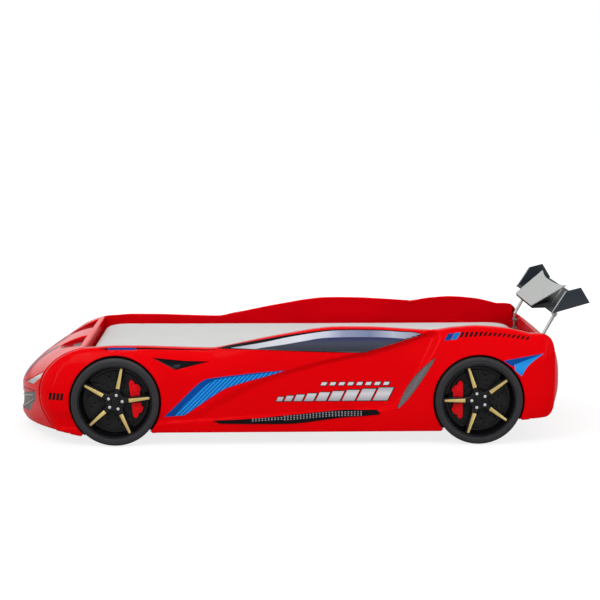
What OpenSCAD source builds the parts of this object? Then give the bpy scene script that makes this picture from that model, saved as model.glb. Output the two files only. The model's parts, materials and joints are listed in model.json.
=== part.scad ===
// A child's bed in the shape of a low racing car, with sculpted plastic panels on a wooden bed frame.
// The nose points along -X, the side seen first is at -Y, and Z = 0 is the floor.

/* [Mattress] */
// Length of the mattress
mattress_length = 1900; // [1700:10:2100]
// Width of the mattress
mattress_width = 900; // [860:5:940]
// Height of the mattress at its border
mattress_height = 162; // [120:2:190]
// Rise of the middle of the mattress above its border
mattress_crown = 11; // [4:1:20]
// Plan radius of the mattress corners
mattress_corner = 90; // [50:5:130]
// How far the sides of the mattress draw in between the top and bottom borders
mattress_waist = 6; // [2:1:12]
// Room between the mattress and the side boards, each side
mattress_side_play = 12; // [6:1:16]
// Room at the foot of the mattress for the wing posts
post_room = 26; // [22:1:34]

/* [Body] */
// Distance from the nose to the front board
nose_length = 323.5; // [300:5:350]
// How far the front edge of the side panels stays behind the nose
nose_sweep = 134; // [110:2:150]
// Distance from the rear board to the rearmost point of the tail
tail_depth = 72; // [66:2:84]
// How far the rear edge of the side panels stays ahead of the tail
tail_wrap = 42; // [34:1:50]
// How far the shoulders stand out from the inner boards
shoulder_stand = 59; // [50:1:68]
// How far the top rail stands out from the inner boards
rail_stand = 16; // [12:1:22]
// How far the lower edge of the sills stands out from the inner boards
sill_stand = 44; // [38:1:50]
// Height of the lower edge of the sills
sill_height = 54; // [46:1:66]
// Height of the rail at its highest point
rail_height = 494; // [476:2:516]
// How far the tail rim lies below the highest point of the rail
tail_drop = 79.5; // [70:0.5:90]
// Thickness of the moulded panels
panel_t = 5; // [4:0.5:6]
// Depth of the door recess at its rear end
door_depth = 24; // [14:1:28]
// Depth of the hood scoops
scoop_depth = 27; // [18:1:36]
// Step between the side panels and the hood and bumpers that meet them
seam_step = 7; // [6:0.5:9]

/* [Frame] */
// Thickness of the inner boards
board_t = 12; // [10:1:13]
// Height of the lower edge of the inner boards
board_bottom = 68; // [62:1:76]
// Height of the ledger rails
ledger_height = 40; // [30:2:44]
// Width of the ledger rails
ledger_width = 24; // [18:1:30]
// Thickness of the slats
slat_t = 16; // [12:1:20]
// Width of the slats
slat_w = 70; // [50:2:90]
// Number of slats
slat_count = 14; // [10:1:16]
// Length of each side of a corner leg
leg_size = 40; // [34:1:46]
// Diameter of the screwed feet
foot_d = 34; // [28:1:40]
// Height of the screwed feet
foot_height = 14; // [8:1:20]
// Width of the beam under the slats
beam_width = 30; // [24:1:40]

/* [Wheels] */
// Distance from the front board to the front axle
axle_inset = 132; // [126:1:138]
// Distance between the axles
wheelbase = 1505; // [1495:1:1515]
// Height of the wheel centres
axle_height = 185; // [184:0.5:188]
// Outer radius of the tyres
tyre_r = 182.5; // [178:0.5:183]
// Width of the black ring of the tyres
tyre_ring = 29; // [24:1:32]
// How far the outer face of the wheels stands out past the shoulders
wheel_stand = 12; // [8:1:16]
// Width of the wheels
wheel_width = 66; // [60:1:66]
// Clear space between tyre and wheel opening
arch_gap = 7.5; // [6:0.5:9]
// Diameter of the axle bolts
axle_d = 12; // [10:0.5:16]
// Radial clearance of the hubs on the axle bolts
axle_clear = 0.08; // [0.05:0.01:0.09]
// Width of a spoke at the hub
spoke_root = 32; // [26:1:36]
// Width of a spoke at the rim
spoke_tip = 18; // [14:1:20]
// Radius of the brake discs
disc_r = 124; // [118:1:128]
// Diameter of the wheel nuts
nut_d = 13; // [10:0.5:15]

/* [Wing] */
// Distance between the middle plane and the wing posts
post_half = 363; // [355:1:370]
// Diameter of the wing posts
post_d = 14; // [12:0.5:16]
// Height of the bend of the wing posts above the tail rim
post_bend_rise = 11.5; // [10:0.5:20]
// Lean of the wing posts above the bend, in degrees
post_lean = 29; // [27:0.5:31]
// Length of the wing posts above the bend
post_upper = 117; // [105:1:130]
// Half span of the wing
wing_half = 460; // [450:1:470]
// Chord of the wing plank
wing_chord = 148; // [130:2:160]
// Slope of the wing plank, in degrees
wing_slope = 16; // [12:1:20]
// Thickness of the wing plank
wing_t = 9; // [7:0.5:12]
// Slope of the silver centre panel, in degrees
centre_slope = 35.5; // [32:0.5:38]
// Length of the centre panel, from its low front to its high rear
centre_chord = 167; // [150:1:176]
// Half width of the centre panel at its low front edge
centre_front_half = 212; // [200:2:224]
// Half width of the centre panel at its high rear edge
centre_rear_half = 288; // [270:2:300]

/* [Hidden] */

// Colours
RED = [0.86, 0.02, 0.03];
DARK = [0.12, 0.12, 0.13];
BLACK = [0.05, 0.05, 0.05];
SILVER = [0.72, 0.73, 0.72];
GOLD = [0.79, 0.67, 0.36];
WOOD = [0.82, 0.70, 0.52];
CLOTH = [0.86, 0.86, 0.85];

// Places along the bed
nose_x = -1213.5;
well_front_x = nose_x + nose_length;
well_rear_x = well_front_x + 4 + mattress_length + post_room;
tail_x = well_rear_x + tail_depth;
front_axle_x = well_front_x + axle_inset;
rear_axle_x = front_axle_x + wheelbase;
panel_front_x = nose_x + nose_sweep;
panel_rear_x = tail_x - tail_wrap;
panel_length = panel_rear_x - panel_front_x;

// Places across the bed
board_in = mattress_width / 2 + mattress_side_play;
board_out = board_in + board_t;
body_half = board_out + shoulder_stand;
rail_half = board_out + rail_stand;
sill_half = board_out + sill_stand;
wheel_face = body_half + wheel_stand;
wheel_back = wheel_face - wheel_width;

// Heights
mattress_seat = 211;
slat_bottom = mattress_seat - 0.3 - slat_t;
ledger_bottom = slat_bottom - ledger_height;
tail_height = rail_height - tail_drop;
post_bend_height = tail_height + post_bend_rise;
fit = 0.3;

// Front edge of the side panels: an ellipse round the nose end of the fender
cap_front_x = panel_front_x + 239;
cap_front_z = 214;
cap_front_a = 239;
cap_front_up = 195;
cap_front_down = 215;
cap_front_y = rail_half - 30;

// Rear edge of the side panels: a squarer oval at the tail corner
cap_rear_a = 110;
cap_rear_x = panel_rear_x - cap_rear_a;
cap_rear_z = 256;
cap_rear_down = 152;
cap_rear_power = 4.4;
cap_rear_y = rail_half + 12;

arch_r = tyre_r + arch_gap;

// The rail, as share of the panel's length and drop below its highest point
RAIL = [[0, 86], [0.111, 85], [0.14, 79], [0.209, 80.5], [0.278, 86], [0.34, 90], [0.447, 43],
    [0.524, 14], [0.563, 4], [0.601, 3], [0.65, 5], [0.709, 12.5], [0.763, 21], [0.794, 8],
    [0.84, 0], [0.872, 3], [0.91, 12], [0.949, 33], [1, 76]];
// The lower edge, as share of the panel's length and rise above the sill
SILL = [[0, 8], [0.03, 6], [0.09, -17], [0.2, -6], [0.23, 0], [0.8, 0], [0.82, 30], [0.91, 43],
    [0.96, 50], [1, 60]];

function mix(a, b, t) = a + (b - a) * t;
function clamp01(t) = max(0, min(1, t));
function smooth(t) = let (c = clamp01(t)) c * c * (3 - 2 * c);
function share(x) = (x - panel_front_x) / panel_length;
function rounded(table, s) = (lookup(s - 0.008, table) + 2 * lookup(s, table)
    + lookup(s + 0.008, table)) / 4;
function rail_z(x) = rail_height - rounded(RAIL, share(x));
function sill_z(x) = sill_height + rounded(SILL, share(x));

// How far a place lies into the front or rear end of the panel: 0 outside, 1 at the edge
function cap_part(x) = x < cap_front_x ? (cap_front_x - x) / cap_front_a
    : x > cap_rear_x ? (x - cap_rear_x) / cap_rear_a : 0;
function cap_power(x) = x > cap_rear_x ? cap_rear_power : 2;
function cap_mid(x) = mix(cap_front_z, cap_rear_z, clamp01((x - cap_front_x)
    / (cap_rear_x - cap_front_x)));
function cap_line(x) = max(cap_front_x, min(cap_rear_x, x));
function cap_up(x) = rail_z(cap_line(x)) - cap_mid(x);
function cap_down(x) = x > cap_rear_x ? cap_rear_down : cap_front_down;
function cap_height(x) = let (n = cap_power(x)) pow(max(0, 1 - pow(cap_part(x), n)), 1 / n);
function panel_top(x) = cap_mid(x) + cap_up(x) * cap_height(x);
function panel_bottom(x) = let (low = cap_mid(x) - cap_down(x) * cap_height(x))
    cap_part(x) > 0 ? max(sill_z(x), low) : sill_z(x);

// Door recess: it opens below one crease, ahead of the rear fender and above the sill
DOOR = [[0, 151], [0.07, 194], [0.19, 251], [0.29, 289], [0.4, 319], [0.57, 356], [0.79, 392],
    [1.06, 463], [1.3, 526]];
door_x = front_axle_x + 350;
door_length = 874;
function door_share(x) = (x - door_x) / door_length;
function door_crease(x) = (lookup(door_share(x) - 0.02, DOOR) + 2 * lookup(door_share(x), DOOR)
    + lookup(door_share(x) + 0.02, DOOR)) / 4;
function door_slope(x) = mix(42, 10, clamp01(door_share(x) - 0.2) / 0.6);
function intake_x(z) = rear_axle_x - 347 + 190 * pow(clamp01((z - 146) / 290), 0.75)
    - 0.5 * max(0, 146 - z);
function strip_z(x) = 107 + 0.0604 * (x - front_axle_x - 387);
function recess(x, z) = mix(0.35, 1, clamp01(door_share(x))) * door_depth
    * smooth((door_crease(x) - z) / door_slope(x))
    * smooth((intake_x(z) - x) / 42)
    * smooth((z - strip_z(x) + 6) / 16)
    * smooth((rail_z(x) - z) / 30);

// Outer face of the side panels: distance from the middle plane at a place x, z
function panel_y(x, z) = let (
    part = cap_part(x),
    mid = cap_mid(x),
    n = cap_power(x),
    tall = z > mid ? (z - mid) / cap_up(x) : (mid - z) / cap_down(x),
    rho = pow(pow(part, n) + pow(max(0, tall), n), 1 / n),
    rim = mix(sill_half, rail_half, smooth((z - mid + 60) / 120)),
    cap = x > cap_rear_x ? cap_rear_y : cap_front_y,
    edge = rim + (cap - rim) * part * part,
    bend = x < cap_front_x ? 4 : mix(4, 3, smooth((x - cap_front_x) / 300)),
    front_r = norm([x - front_axle_x, z - axle_height]) - arch_r,
    rear_r = norm([x - rear_axle_x, z - axle_height]) - arch_r,
    lip = 4 * exp(-pow(front_r / 26, 2)) + 4 * exp(-pow(rear_r / 26, 2)))
    body_half - (body_half - edge) * pow(min(1.05, rho), bend) + lip * (1 - rho * rho)
    - recess(x, z);

// A closed sheet between two equal grids of points, open where keep is 0
module sheet(outer, inner, keep = []) {
    rows = len(outer);
    cols = len(outer[0]);
    count = rows * cols;
    flat = [for (line = outer, p = line) p];
    back = [for (line = inner, p = line) p];
    function at(i, j) = i * cols + j;
    function on(i, j) = i >= 0 && j >= 0 && i < rows - 1 && j < cols - 1
        && (len(keep) == 0 || keep[i][j] == 1);
    faces = [for (i = [0:rows - 2], j = [0:cols - 2]) if (on(i, j)) each concat(
        [[at(i, j), at(i + 1, j), at(i + 1, j + 1)], [at(i, j), at(i + 1, j + 1), at(i, j + 1)],
        [count + at(i, j), count + at(i + 1, j + 1), count + at(i + 1, j)],
        [count + at(i, j), count + at(i, j + 1), count + at(i + 1, j + 1)]],
        on(i - 1, j) ? [] : [[at(i, j), at(i, j + 1), count + at(i, j + 1)],
            [at(i, j), count + at(i, j + 1), count + at(i, j)]],
        on(i + 1, j) ? [] : [[at(i + 1, j + 1), at(i + 1, j), count + at(i + 1, j)],
            [at(i + 1, j + 1), count + at(i + 1, j), count + at(i + 1, j + 1)]],
        on(i, j - 1) ? [] : [[at(i + 1, j), at(i, j), count + at(i, j)],
            [at(i + 1, j), count + at(i, j), count + at(i + 1, j)]],
        on(i, j + 1) ? [] : [[at(i, j + 1), at(i + 1, j + 1), count + at(i + 1, j + 1)],
            [at(i, j + 1), count + at(i + 1, j + 1), count + at(i, j + 1)]])];
    polyhedron(points = concat(flat, back), faces = faces, convexity = 10);
}

// Stations along a side panel, closer together round its two ends
function end_stations(n) = [for (k = [0:n - 1]) sin(85 - 85 * k / n)];
front_stations = [for (s = end_stations(8)) cap_front_x - cap_front_a * s];
rear_stations = [for (k = [1:6]) cap_rear_x + cap_rear_a * sin(14 * k)];
mid_count = 42;
flange_start_x = well_front_x + 4;
stations = concat([for (x = front_stations) if (x < well_front_x - 8) x],
    [flange_start_x, flange_start_x + 8],
    [for (k = [0:mid_count]) mix(cap_front_x, cap_rear_x, k / mid_count)], rear_stations);

// Where the top flange of a side panel ends: over the inner board, or at the panel's own edge
flange_end_x = well_rear_x - 20;
function flange_y(x) = x > flange_start_x && x < flange_end_x ? board_in - 0.5
    : panel_y(x, panel_top(x)) - panel_t - 0.5;
panel_rows = 12;
function panel_outer(x) = concat(
    [for (k = [0:panel_rows]) let (z = mix(panel_bottom(x), panel_top(x), k / panel_rows))
        [x, -panel_y(x, z), z]], [[x, -flange_y(x), panel_top(x)]]);
function panel_inner(x) = concat(
    [for (k = [0:panel_rows]) let (
        z = mix(panel_bottom(x), panel_top(x) - panel_t, k / panel_rows),
        edge = mix(panel_bottom(x), panel_top(x), k / panel_rows))
        [x, -panel_y(x, edge) + panel_t, z]], [[x, -flange_y(x), panel_top(x) - panel_t]]);

// Outlines on the side panels, in x and z: the crescent vent, the fender vent and the sill strip
function vent_right(z) = intake_x(z) + 3;
vent_low = 154;
vent_high = 404;
function vent_outline(inset) = concat(
    [for (k = [0:10]) let (z = mix(vent_low + 3 * inset, vent_high - 3 * inset, k / 10))
        [vent_right(z) - inset, z]],
    [for (k = [9:-1:1]) let (z = mix(vent_low + 3 * inset, vent_high - 3 * inset, k / 10))
        [vent_right(z) - 36 * pow(sin(18 * k), 0.7) + inset, z]]);
fender_vent = [[front_axle_x + 155, 367], [front_axle_x + 249, 317.5], [front_axle_x + 388, 351],
    [front_axle_x + 283, 354]];
strip_outline = [[door_x + 37, 105], [door_x + 62, 95], [door_x + 413, 103.5],
    [door_x + 669, 131.5], [door_x + 661, 146], [door_x + 413, 129]];

module through_panel() {
    rotate([90, 0, 0]) linear_extrude(body_half + 60) children();
}

// A skin that follows the side panel's outer face, lifted by lift and t thick
module panel_skin(x0, x1, z0, z1, nx, nz, lift, t) {
    sheet([for (i = [0:nx]) let (x = mix(x0, x1, i / nx)) [for (j = [0:nz])
            let (z = mix(z0, z1, j / nz)) [x, -panel_y(x, z) - lift, z]]],
        [for (i = [0:nx]) let (x = mix(x0, x1, i / nx)) [for (j = [0:nz])
            let (z = mix(z0, z1, j / nz)) [x, -panel_y(x, z) - lift + t, z]]]);
}

module side_panel_shape() {
    difference() {
        sheet([for (x = stations) panel_outer(x)], [for (x = stations) panel_inner(x)]);
        for (x = [front_axle_x, rear_axle_x])
            translate([x, -body_half - 50, axle_height]) rotate([-90, 0, 0])
                cylinder(r = arch_r, h = 100, $fn = 96);
        through_panel() polygon(vent_outline(0));
        through_panel() polygon(fender_vent);
        through_panel() polygon(strip_outline);
    }
}

module left_side_panel() { color(RED) side_panel_shape(); }

module right_side_panel() { color(RED) mirror([0, 1, 0]) side_panel_shape(); }

module both_sides() {
    children();
    mirror([0, 1, 0]) children();
}

// Crescent vents ahead of the rear wheels, with slanted slots
module side_vents() {
    color(DARK) both_sides() difference() {
        intersection() {
            panel_skin(intake_x(vent_low) - 26, intake_x(vent_high) + 23, vent_low - 5,
                vent_high + 5, 12, 12, -1, 3);
            through_panel() polygon(vent_outline(fit));
        }
        for (k = [0:12])
            translate([vent_right(vent_low + 30 + 15 * k) - 17, 0, vent_low + 30 + 15 * k])
                rotate([0, 30, 0]) cube([16, 2 * body_half + 20, 4], center = true);
    }
}

// Wedge vents behind the front wheels, with a raised inner facet
module fender_vents() {
    color(BLACK) both_sides() intersection() {
        panel_skin(fender_vent[0][0] - 10, fender_vent[2][0] + 8, fender_vent[1][1] - 10,
            fender_vent[0][1] + 10, 8, 4, -1.5, 3);
        through_panel() offset(delta = -fit) polygon(fender_vent);
    }
}

module sill_strips() {
    color(BLACK) both_sides() intersection() {
        panel_skin(strip_outline[0][0] - 7, strip_outline[3][0] + 11, strip_outline[1][1] - 5,
            strip_outline[4][1] + 4, 12, 3, 0.5, 4);
        through_panel() offset(delta = -fit) polygon(strip_outline);
    }
}

// The nose: a centre section and the side panels' front edge, blended across the width
hood_line_z = 188;
lip_z = 34;
seam_low = -46;
seam_high = acos((cap_front_x - well_front_x) / cap_front_a);
hood_back_z = cap_front_z + cap_front_up * sin(seam_high);
nose_round = 2 / 1.5;
function seam_angle(v) = v > 0 ? v * seam_high : -v * seam_low;
function seam_x(v) = cap_front_x - cap_front_a * cos(seam_angle(v));
function seam_z(v) = cap_front_z + (v > 0 ? cap_front_up : cap_front_down) * sin(seam_angle(v));
function seam_y(v) = panel_y(seam_x(v), seam_z(v)) - seam_step;
function centre_x(v) = v > 0
    ? well_front_x - (nose_length - 4) * pow(cos(90 * v), nose_round)
    : nose_x + 4 - 4 * smooth((-v - 0.4) / 0.35) + 12 * smooth((-v - 0.82) / 0.18);
function centre_z(v) = v > 0
    ? hood_line_z + (hood_back_z - hood_line_z) * pow(sin(90 * v), nose_round)
    : mix(hood_line_z, lip_z, -v);
function nose_point(s, v) = let (w = pow(abs(s), 1.5))
    [mix(centre_x(v), seam_x(v), w), s * seam_y(v), mix(centre_z(v), seam_z(v), w)];

// The scoops: hollows in the hood that fan out from their tips towards the front board
scoop_reach = 142;
scoop_rim = 20;
scoop_tip = 136;
scoop_front_floor = 355;
scoop_cut = 50;
function scoop_share(x) = (x - well_front_x + scoop_reach) / (scoop_reach - scoop_rim);
function scoop_floor(x) = mix(scoop_front_floor, hood_back_z - scoop_depth, scoop_share(x));
function scoop_inner(u) = scoop_tip - 26 * sqrt(u);
function scoop_outer(u) = scoop_tip + 280 * pow(u, 0.55);
function scoop_mask(x, y) = let (u = clamp01(scoop_share(x)))
    smooth((abs(y) - scoop_inner(u)) / 22) * smooth((scoop_outer(u) - abs(y)) / 30)
    * smooth(u / 0.25) * smooth((well_front_x - scoop_rim - x) / 14);
function hood_point(s, v) = let (p = nose_point(s, v))
    [p[0], p[1], p[2] - scoop_mask(p[0], p[1]) * max(0, p[2] - scoop_floor(p[0]))];

// Inward direction of the nose skin, from straight back at the hood line to straight down
function inward(v) = let (a = 90 * pow(clamp01(v), 0.7)) [cos(a), 0, -sin(a)];

half_shares = [0.07, 0.14, 0.2, 0.225, 0.25, 0.275, 0.33, 0.4, 0.48, 0.55, 0.61, 0.67, 0.72, 0.77,
    0.81, 0.85, 0.89, 0.95, 1];
nose_shares = concat([for (k = [len(half_shares) - 1:-1:0]) -half_shares[k]], [0], half_shares);
hood_rows = [0, 0.06, 0.13, 0.2, 0.28, 0.36, 0.44, 0.52, 0.6, 0.66, 0.72, 0.78, 0.83, 0.87, 0.9,
    0.93, 0.965, 1];
bumper_rows = [-1, -0.93, -0.85, -0.75, -0.6, -0.45, -0.3, -0.15, -0.004];
tuck = 14;

// One column of the nose skin's outer or inner points, with a flange tucked behind each seam
function tuck_point(side, v, back, in) = let (a = seam_angle(v))
    [seam_x(v) + back * cos(a), side * (seam_y(v) - in), seam_z(v) - back * sin(a)];
function nose_outer(rows) = concat(
    [[for (v = rows) tuck_point(-1, v, tuck, 0)]],
    [for (s = nose_shares) [for (v = rows) hood_point(s, v)]],
    [[for (v = rows) tuck_point(1, v, tuck, 0)]]);
function nose_inner(rows) = concat(
    [[for (v = rows) tuck_point(-1, v, tuck, panel_t)]],
    [for (s = nose_shares) [for (v = rows) abs(s) == 1 ? tuck_point(s, v, panel_t, panel_t)
        : hood_point(s, v) + panel_t * inward(v)]],
    [[for (v = rows) tuck_point(1, v, tuck, panel_t)]]);

// A skin that follows the nose at depth d behind its face, t thick
module nose_skin(shares, rows, d, t) {
    sheet([for (s = shares) [for (v = rows) nose_point(s, v) + d * inward(v)]],
        [for (s = shares) [for (v = rows) nose_point(s, v) + (d + t) * inward(v)]]);
}

// Outlines on the nose, in y and z, seen from the front; they widen with the body
drawn_half = 533;
function across(outline) = [for (p = outline) [p[0] * body_half / drawn_half, p[1]]];
lens_outline = across([[215, 224], [300, 251], [438, 300], [436, 274], [340, 230], [232, 215]]);
grille_half = across([[0, 146], [120, 158], [240, 176], [352, 198], [366, 174], [352, 152],
    [230, 100], [100, 82], [0, 78]]);
grille_reach = grille_half[4][0];
grille_outline = concat(grille_half,
    [for (k = [len(grille_half) - 2:-1:1]) [-grille_half[k][0], grille_half[k][1]]]);

module through_nose() {
    translate([nose_x - 10, 0, 0]) rotate([90, 0, 90]) linear_extrude(nose_length - 60)
        children();
}

module hood() {
    color(RED) difference() {
        sheet(nose_inner(hood_rows), nose_outer(hood_rows));
        both_sides() through_nose() polygon(lens_outline);
        on_scoop_floors() translate([0, 0, -2 * panel_t]) linear_extrude(scoop_cut)
            polygon(scoop_outline);
    }
}

module headlights() {
    color(SILVER) both_sides() intersection() {
        nose_skin([for (k = [0:8]) 0.44 + 0.065 * k], [for (k = [0:6]) 0.07 * k], panel_t, -4);
        through_nose() offset(delta = -fit) polygon(lens_outline);
    }
}

module front_bumper() {
    color(RED) difference() {
        sheet(nose_inner(bumper_rows), nose_outer(bumper_rows));
        through_nose() polygon(grille_outline);
    }
}

mesh_shares = [for (s = nose_shares) if (abs(s) < 0.9) s];
mesh_rows = [for (v = bumper_rows) if (v > -0.99 && v < -0.01) v];
module grille_mesh() {
    color(DARK) difference() {
        nose_skin(mesh_shares, mesh_rows, panel_t + 3 + fit, -3);
        for (side = [-1, 1], k = [0:3])
            translate([nose_x + nose_length / 4, side * 0.46 * grille_reach, 100 + 15 * k])
                rotate([side * 9, 0, 0])
                    cube([nose_length / 2, 0.6 * grille_reach, 6], center = true);
    }
}

// Two slim blades cross each half of the grille
blade_t = 3;
function blade(low, high, s) = mix(low, high, (s - 0.08) / 0.66);
module blade_bar(low, high, reach) {
    shares = [for (k = [0:8]) mix(0.08, reach, k / 8)];
    band = 0.03;
    sheet([for (s = shares) let (v = blade(low, high, s)) [for (dv = [band, -band])
            nose_point(s, v + dv) + [panel_t - blade_t, 0, 0]]],
        [for (s = shares) let (v = blade(low, high, s)) [for (dv = [band, -band])
            nose_point(s, v + dv) + [panel_t, 0, 0]]]);
}

module grille_blades() {
    color(SILVER) both_sides() {
        mirror([0, 1, 0]) blade_bar(-0.39, -0.23, 0.74);
        mirror([0, 1, 0]) blade_bar(-0.64, -0.36, 0.59);
    }
}

// Dark slotted plates, set in the floors of the hood scoops
floor_slope = atan((scoop_floor(0) - scoop_floor(100)) / 100);
scoop_outline = [[-24, -50], [14, -58], [14, 62], [-24, 50]];
module on_scoop_floors() {
    x = well_front_x - 44;
    both_sides() translate([x, scoop_tip + 72, scoop_floor(x)]) rotate([0, floor_slope, 0]) children();
}
module scoop_meshes() {
    color(DARK) on_scoop_floors() difference() {
        translate([0, 0, -3]) linear_extrude(2.5) offset(delta = -fit) polygon(scoop_outline);
        for (k = [-2:2])
            translate([-4, 13 * k, 0]) rotate([0, 0, 25]) cube([34, 5, 12], center = true);
    }
}

// The tail: rows of constant height from one rear corner round to the other
function corner_x(z) = cap_rear_x + cap_rear_a * pow(1 - pow(z > cap_rear_z
    ? (z - cap_rear_z) / cap_up(cap_rear_x) : (cap_rear_z - z) / cap_rear_down,
    cap_rear_power), 1 / cap_rear_power);
function corner_y(z) = panel_y(corner_x(z), z) - seam_step;
tail_bulge_z = 241;
function tail_mid_x(z) = tail_x - (z > tail_bulge_z
    ? 48 * pow((z - tail_bulge_z) / (tail_height - tail_bulge_z), 3)
    : 42 * pow((tail_bulge_z - z) / 120, 2));
function tail_point(s, z) = [mix(tail_mid_x(z), corner_x(z), pow(abs(s), 7)) - 5 * s * s,
    s * corner_y(z), z];
tail_low = 124;
tail_half = [0.15, 0.3, 0.45, 0.58, 0.68, 0.76, 0.82, 0.87, 0.91, 0.94, 0.97, 1];
tail_shares = concat([for (k = [len(tail_half) - 1:-1:0]) -tail_half[k]], [0], tail_half);
tail_levels = [for (k = [0:10]) mix(tail_low, tail_height, k / 10)];
tail_turn = 78.5;
function tail_back(z) = let (a = 70 * smooth((z - tail_height) / tail_turn + 1))
    [-cos(a), 0, -sin(a)];
function tail_edge_x(s) = min(well_rear_x + fit, tail_point(s, tail_height)[0] - 2);
function tail_column(s) = concat([for (z = tail_levels) tail_point(s, z)],
    [[tail_edge_x(s), s * corner_y(tail_height), tail_height]]);
function tail_inner(s) = concat([for (z = tail_levels) let (p = tail_point(s, z))
        [p[0], p[1] * (1 - 5 / 480), p[2]] + panel_t * tail_back(z)],
    [[tail_edge_x(s), s * (corner_y(tail_height) - panel_t), tail_height - panel_t]]);

module tail_panel() {
    color(RED) sheet([for (s = tail_shares) tail_column(s)], [for (s = tail_shares) tail_inner(s)]);
}

// Inner boards: the side boards follow the rail just under the panels' flanges, and stay behind
// the panels' lower edges
board_cover = 14;
hood_room = 4;
front_board_top = hood_back_z - panel_t - hood_room;
rear_board_top = tail_height - panel_t - fit;
rail_line = [for (x = stations) [x, panel_top(x)]];
function under_rail(x) = lookup(x, rail_line) - panel_t - fit;
step_x = well_rear_x - 6;
board_x = concat([well_front_x], [for (x = stations) if (x > well_front_x && x < step_x) x],
    [step_x]);
board_top_line = concat([[well_front_x - board_t, front_board_top], [well_front_x, front_board_top]],
    [for (x = board_x) [x, under_rail(x)]],
    [[step_x, rear_board_top], [well_rear_x, rear_board_top],
        [well_rear_x + board_t, rear_board_top - 28]]);
board_low_line = [for (k = [44:-1:0]) let (x = mix(well_front_x - board_t, well_rear_x + board_t,
    k / 44)) [x, max(board_bottom, panel_bottom(x) + board_cover)]];
module side_board() {
    difference() {
        translate([0, -board_in, 0]) rotate([90, 0, 0]) linear_extrude(board_t)
            polygon(concat(board_top_line, board_low_line));
        for (x = [front_axle_x, rear_axle_x]) translate([x, -board_in, axle_height])
            rotate([90, 0, 0]) {
                translate([0, 0, -1]) cylinder(d = axle_d + 0.6, h = board_t + 2, $fn = 48);
                translate([0, 0, -1]) cylinder(d = axle_d + 10, h = 7, $fn = 48);
            }
    }
}

module left_inner_board() { color(RED) side_board(); }

module right_inner_board() { color(RED) mirror([0, 1, 0]) side_board(); }

module front_board() {
    color(RED) translate([well_front_x - board_t, -board_in, board_bottom])
        cube([board_t, 2 * board_in, front_board_top - board_bottom]);
}

// The rear board has cut corners, which clear the turn of the tail panel
rear_board_low = tail_low + 8;
rear_board_half = [[board_in - 60, rear_board_low], [board_in, rear_board_low + 36],
    [board_in, rear_board_top - 24], [board_in - 72, rear_board_top]];
module rear_board() {
    color(RED) translate([well_rear_x, 0, 0]) rotate([90, 0, 90]) linear_extrude(board_t)
        polygon(concat(rear_board_half,
            [for (k = [3:-1:0]) [-rear_board_half[k][0], rear_board_half[k][1]]]));
}

// Slatted base
module ledger_rails() {
    color(WOOD) both_sides()
        translate([well_front_x + 70, -board_in, ledger_bottom])
            cube([well_rear_x - well_front_x - 140, ledger_width, ledger_height]);
}

beam_height = 60;
module centre_beam() {
    color(WOOD) translate([well_front_x, -beam_width / 2, slat_bottom - beam_height])
        cube([well_rear_x - well_front_x, beam_width, beam_height]);
}

slat_first = well_front_x + 80;
slat_pitch = (well_rear_x - well_front_x - 160 - slat_w) / (slat_count - 1);
module slats() {
    color(WOOD) for (k = [0:slat_count - 1])
        translate([slat_first + k * slat_pitch, -board_in + 2, slat_bottom])
            cube([slat_w, 2 * board_in - 4, slat_t]);
}

beam_leg_x = [mix(front_axle_x, rear_axle_x, 0.3), mix(front_axle_x, rear_axle_x, 0.7)];
module legs() {
    color(WOOD) {
        for (x = [front_axle_x, rear_axle_x], side = [0, 1]) mirror([0, side, 0])
            translate([x - leg_size / 2, -board_in, foot_height])
                cube([leg_size, leg_size, ledger_bottom - foot_height]);
        for (x = beam_leg_x)
            translate([x - leg_size / 2, -leg_size / 2, foot_height])
                cube([leg_size, leg_size, slat_bottom - beam_height - foot_height]);
    }
}

module foot() {
    cylinder(d = foot_d, h = foot_height - 4, $fn = 48);
    cylinder(d = foot_d - 12, h = foot_height, $fn = 48);
}

module feet() {
    color(BLACK) {
        for (x = [front_axle_x, rear_axle_x], side = [-1, 1])
            translate([x, side * (board_in - leg_size / 2), 0]) foot();
        for (x = beam_leg_x) translate([x, 0, 0]) foot();
    }
}

// Steel angles join the boards at the four inner corners
angle_size = 50;
angle_t = 2.5;
angle_high = 45;
angle_low = rear_board_low + 14;
module corner_angle() {
    difference() {
        union() {
            cube([angle_size, angle_t, angle_high]);
            cube([angle_t, angle_size, angle_high]);
        }
        for (z = [12, 33]) {
            translate([angle_size - 15, -1, z]) rotate([-90, 0, 0])
                cylinder(d = 5, h = angle_t + 2, $fn = 24);
            translate([-1, angle_size - 15, z]) rotate([0, 90, 0])
                cylinder(d = 5, h = angle_t + 2, $fn = 24);
        }
    }
}

module screw_pan(length) {
    cylinder(d = 4.8, h = length, $fn = 24);
    translate([0, 0, length]) cylinder(d = 9, h = 2.4, $fn = 24);
}

module angle_screws() {
    for (z = [12, 33]) {
        translate([angle_size - 15, 0, z]) rotate([-90, 0, 0]) screw_pan(angle_t);
        translate([0, angle_size - 15, z]) rotate([0, 90, 0]) screw_pan(angle_t);
    }
}

module at_corners() {
    both_sides() {
        translate([well_front_x, -board_in, angle_low]) children();
        translate([well_rear_x, -board_in, angle_low]) mirror([1, 0, 0]) children();
    }
}

module corner_brackets() { color(SILVER) at_corners() corner_angle(); }

module bracket_screws() { color(SILVER) at_corners() angle_screws(); }

// Blocks that carry the outer panels on the side boards
block_x = [for (t = [0.163, 0.346, 0.532, 0.834]) mix(front_axle_x, rear_axle_x, t)];
block_z = 231;
block_w = 40;
function block_face(x) = min([for (dx = [-1.5:0.5:1.5], dz = [-1.1, -0.5, 0, 0.5, 1.1])
    panel_y(x + dx * block_w, block_z + dz * block_w)]) - panel_t - fit;
module panel_blocks() {
    color(WOOD) both_sides() for (x = block_x)
        translate([x - block_w / 2, -block_face(x), block_z - block_w / 2])
            cube([block_w, block_face(x) - board_out, block_w]);
}

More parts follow.
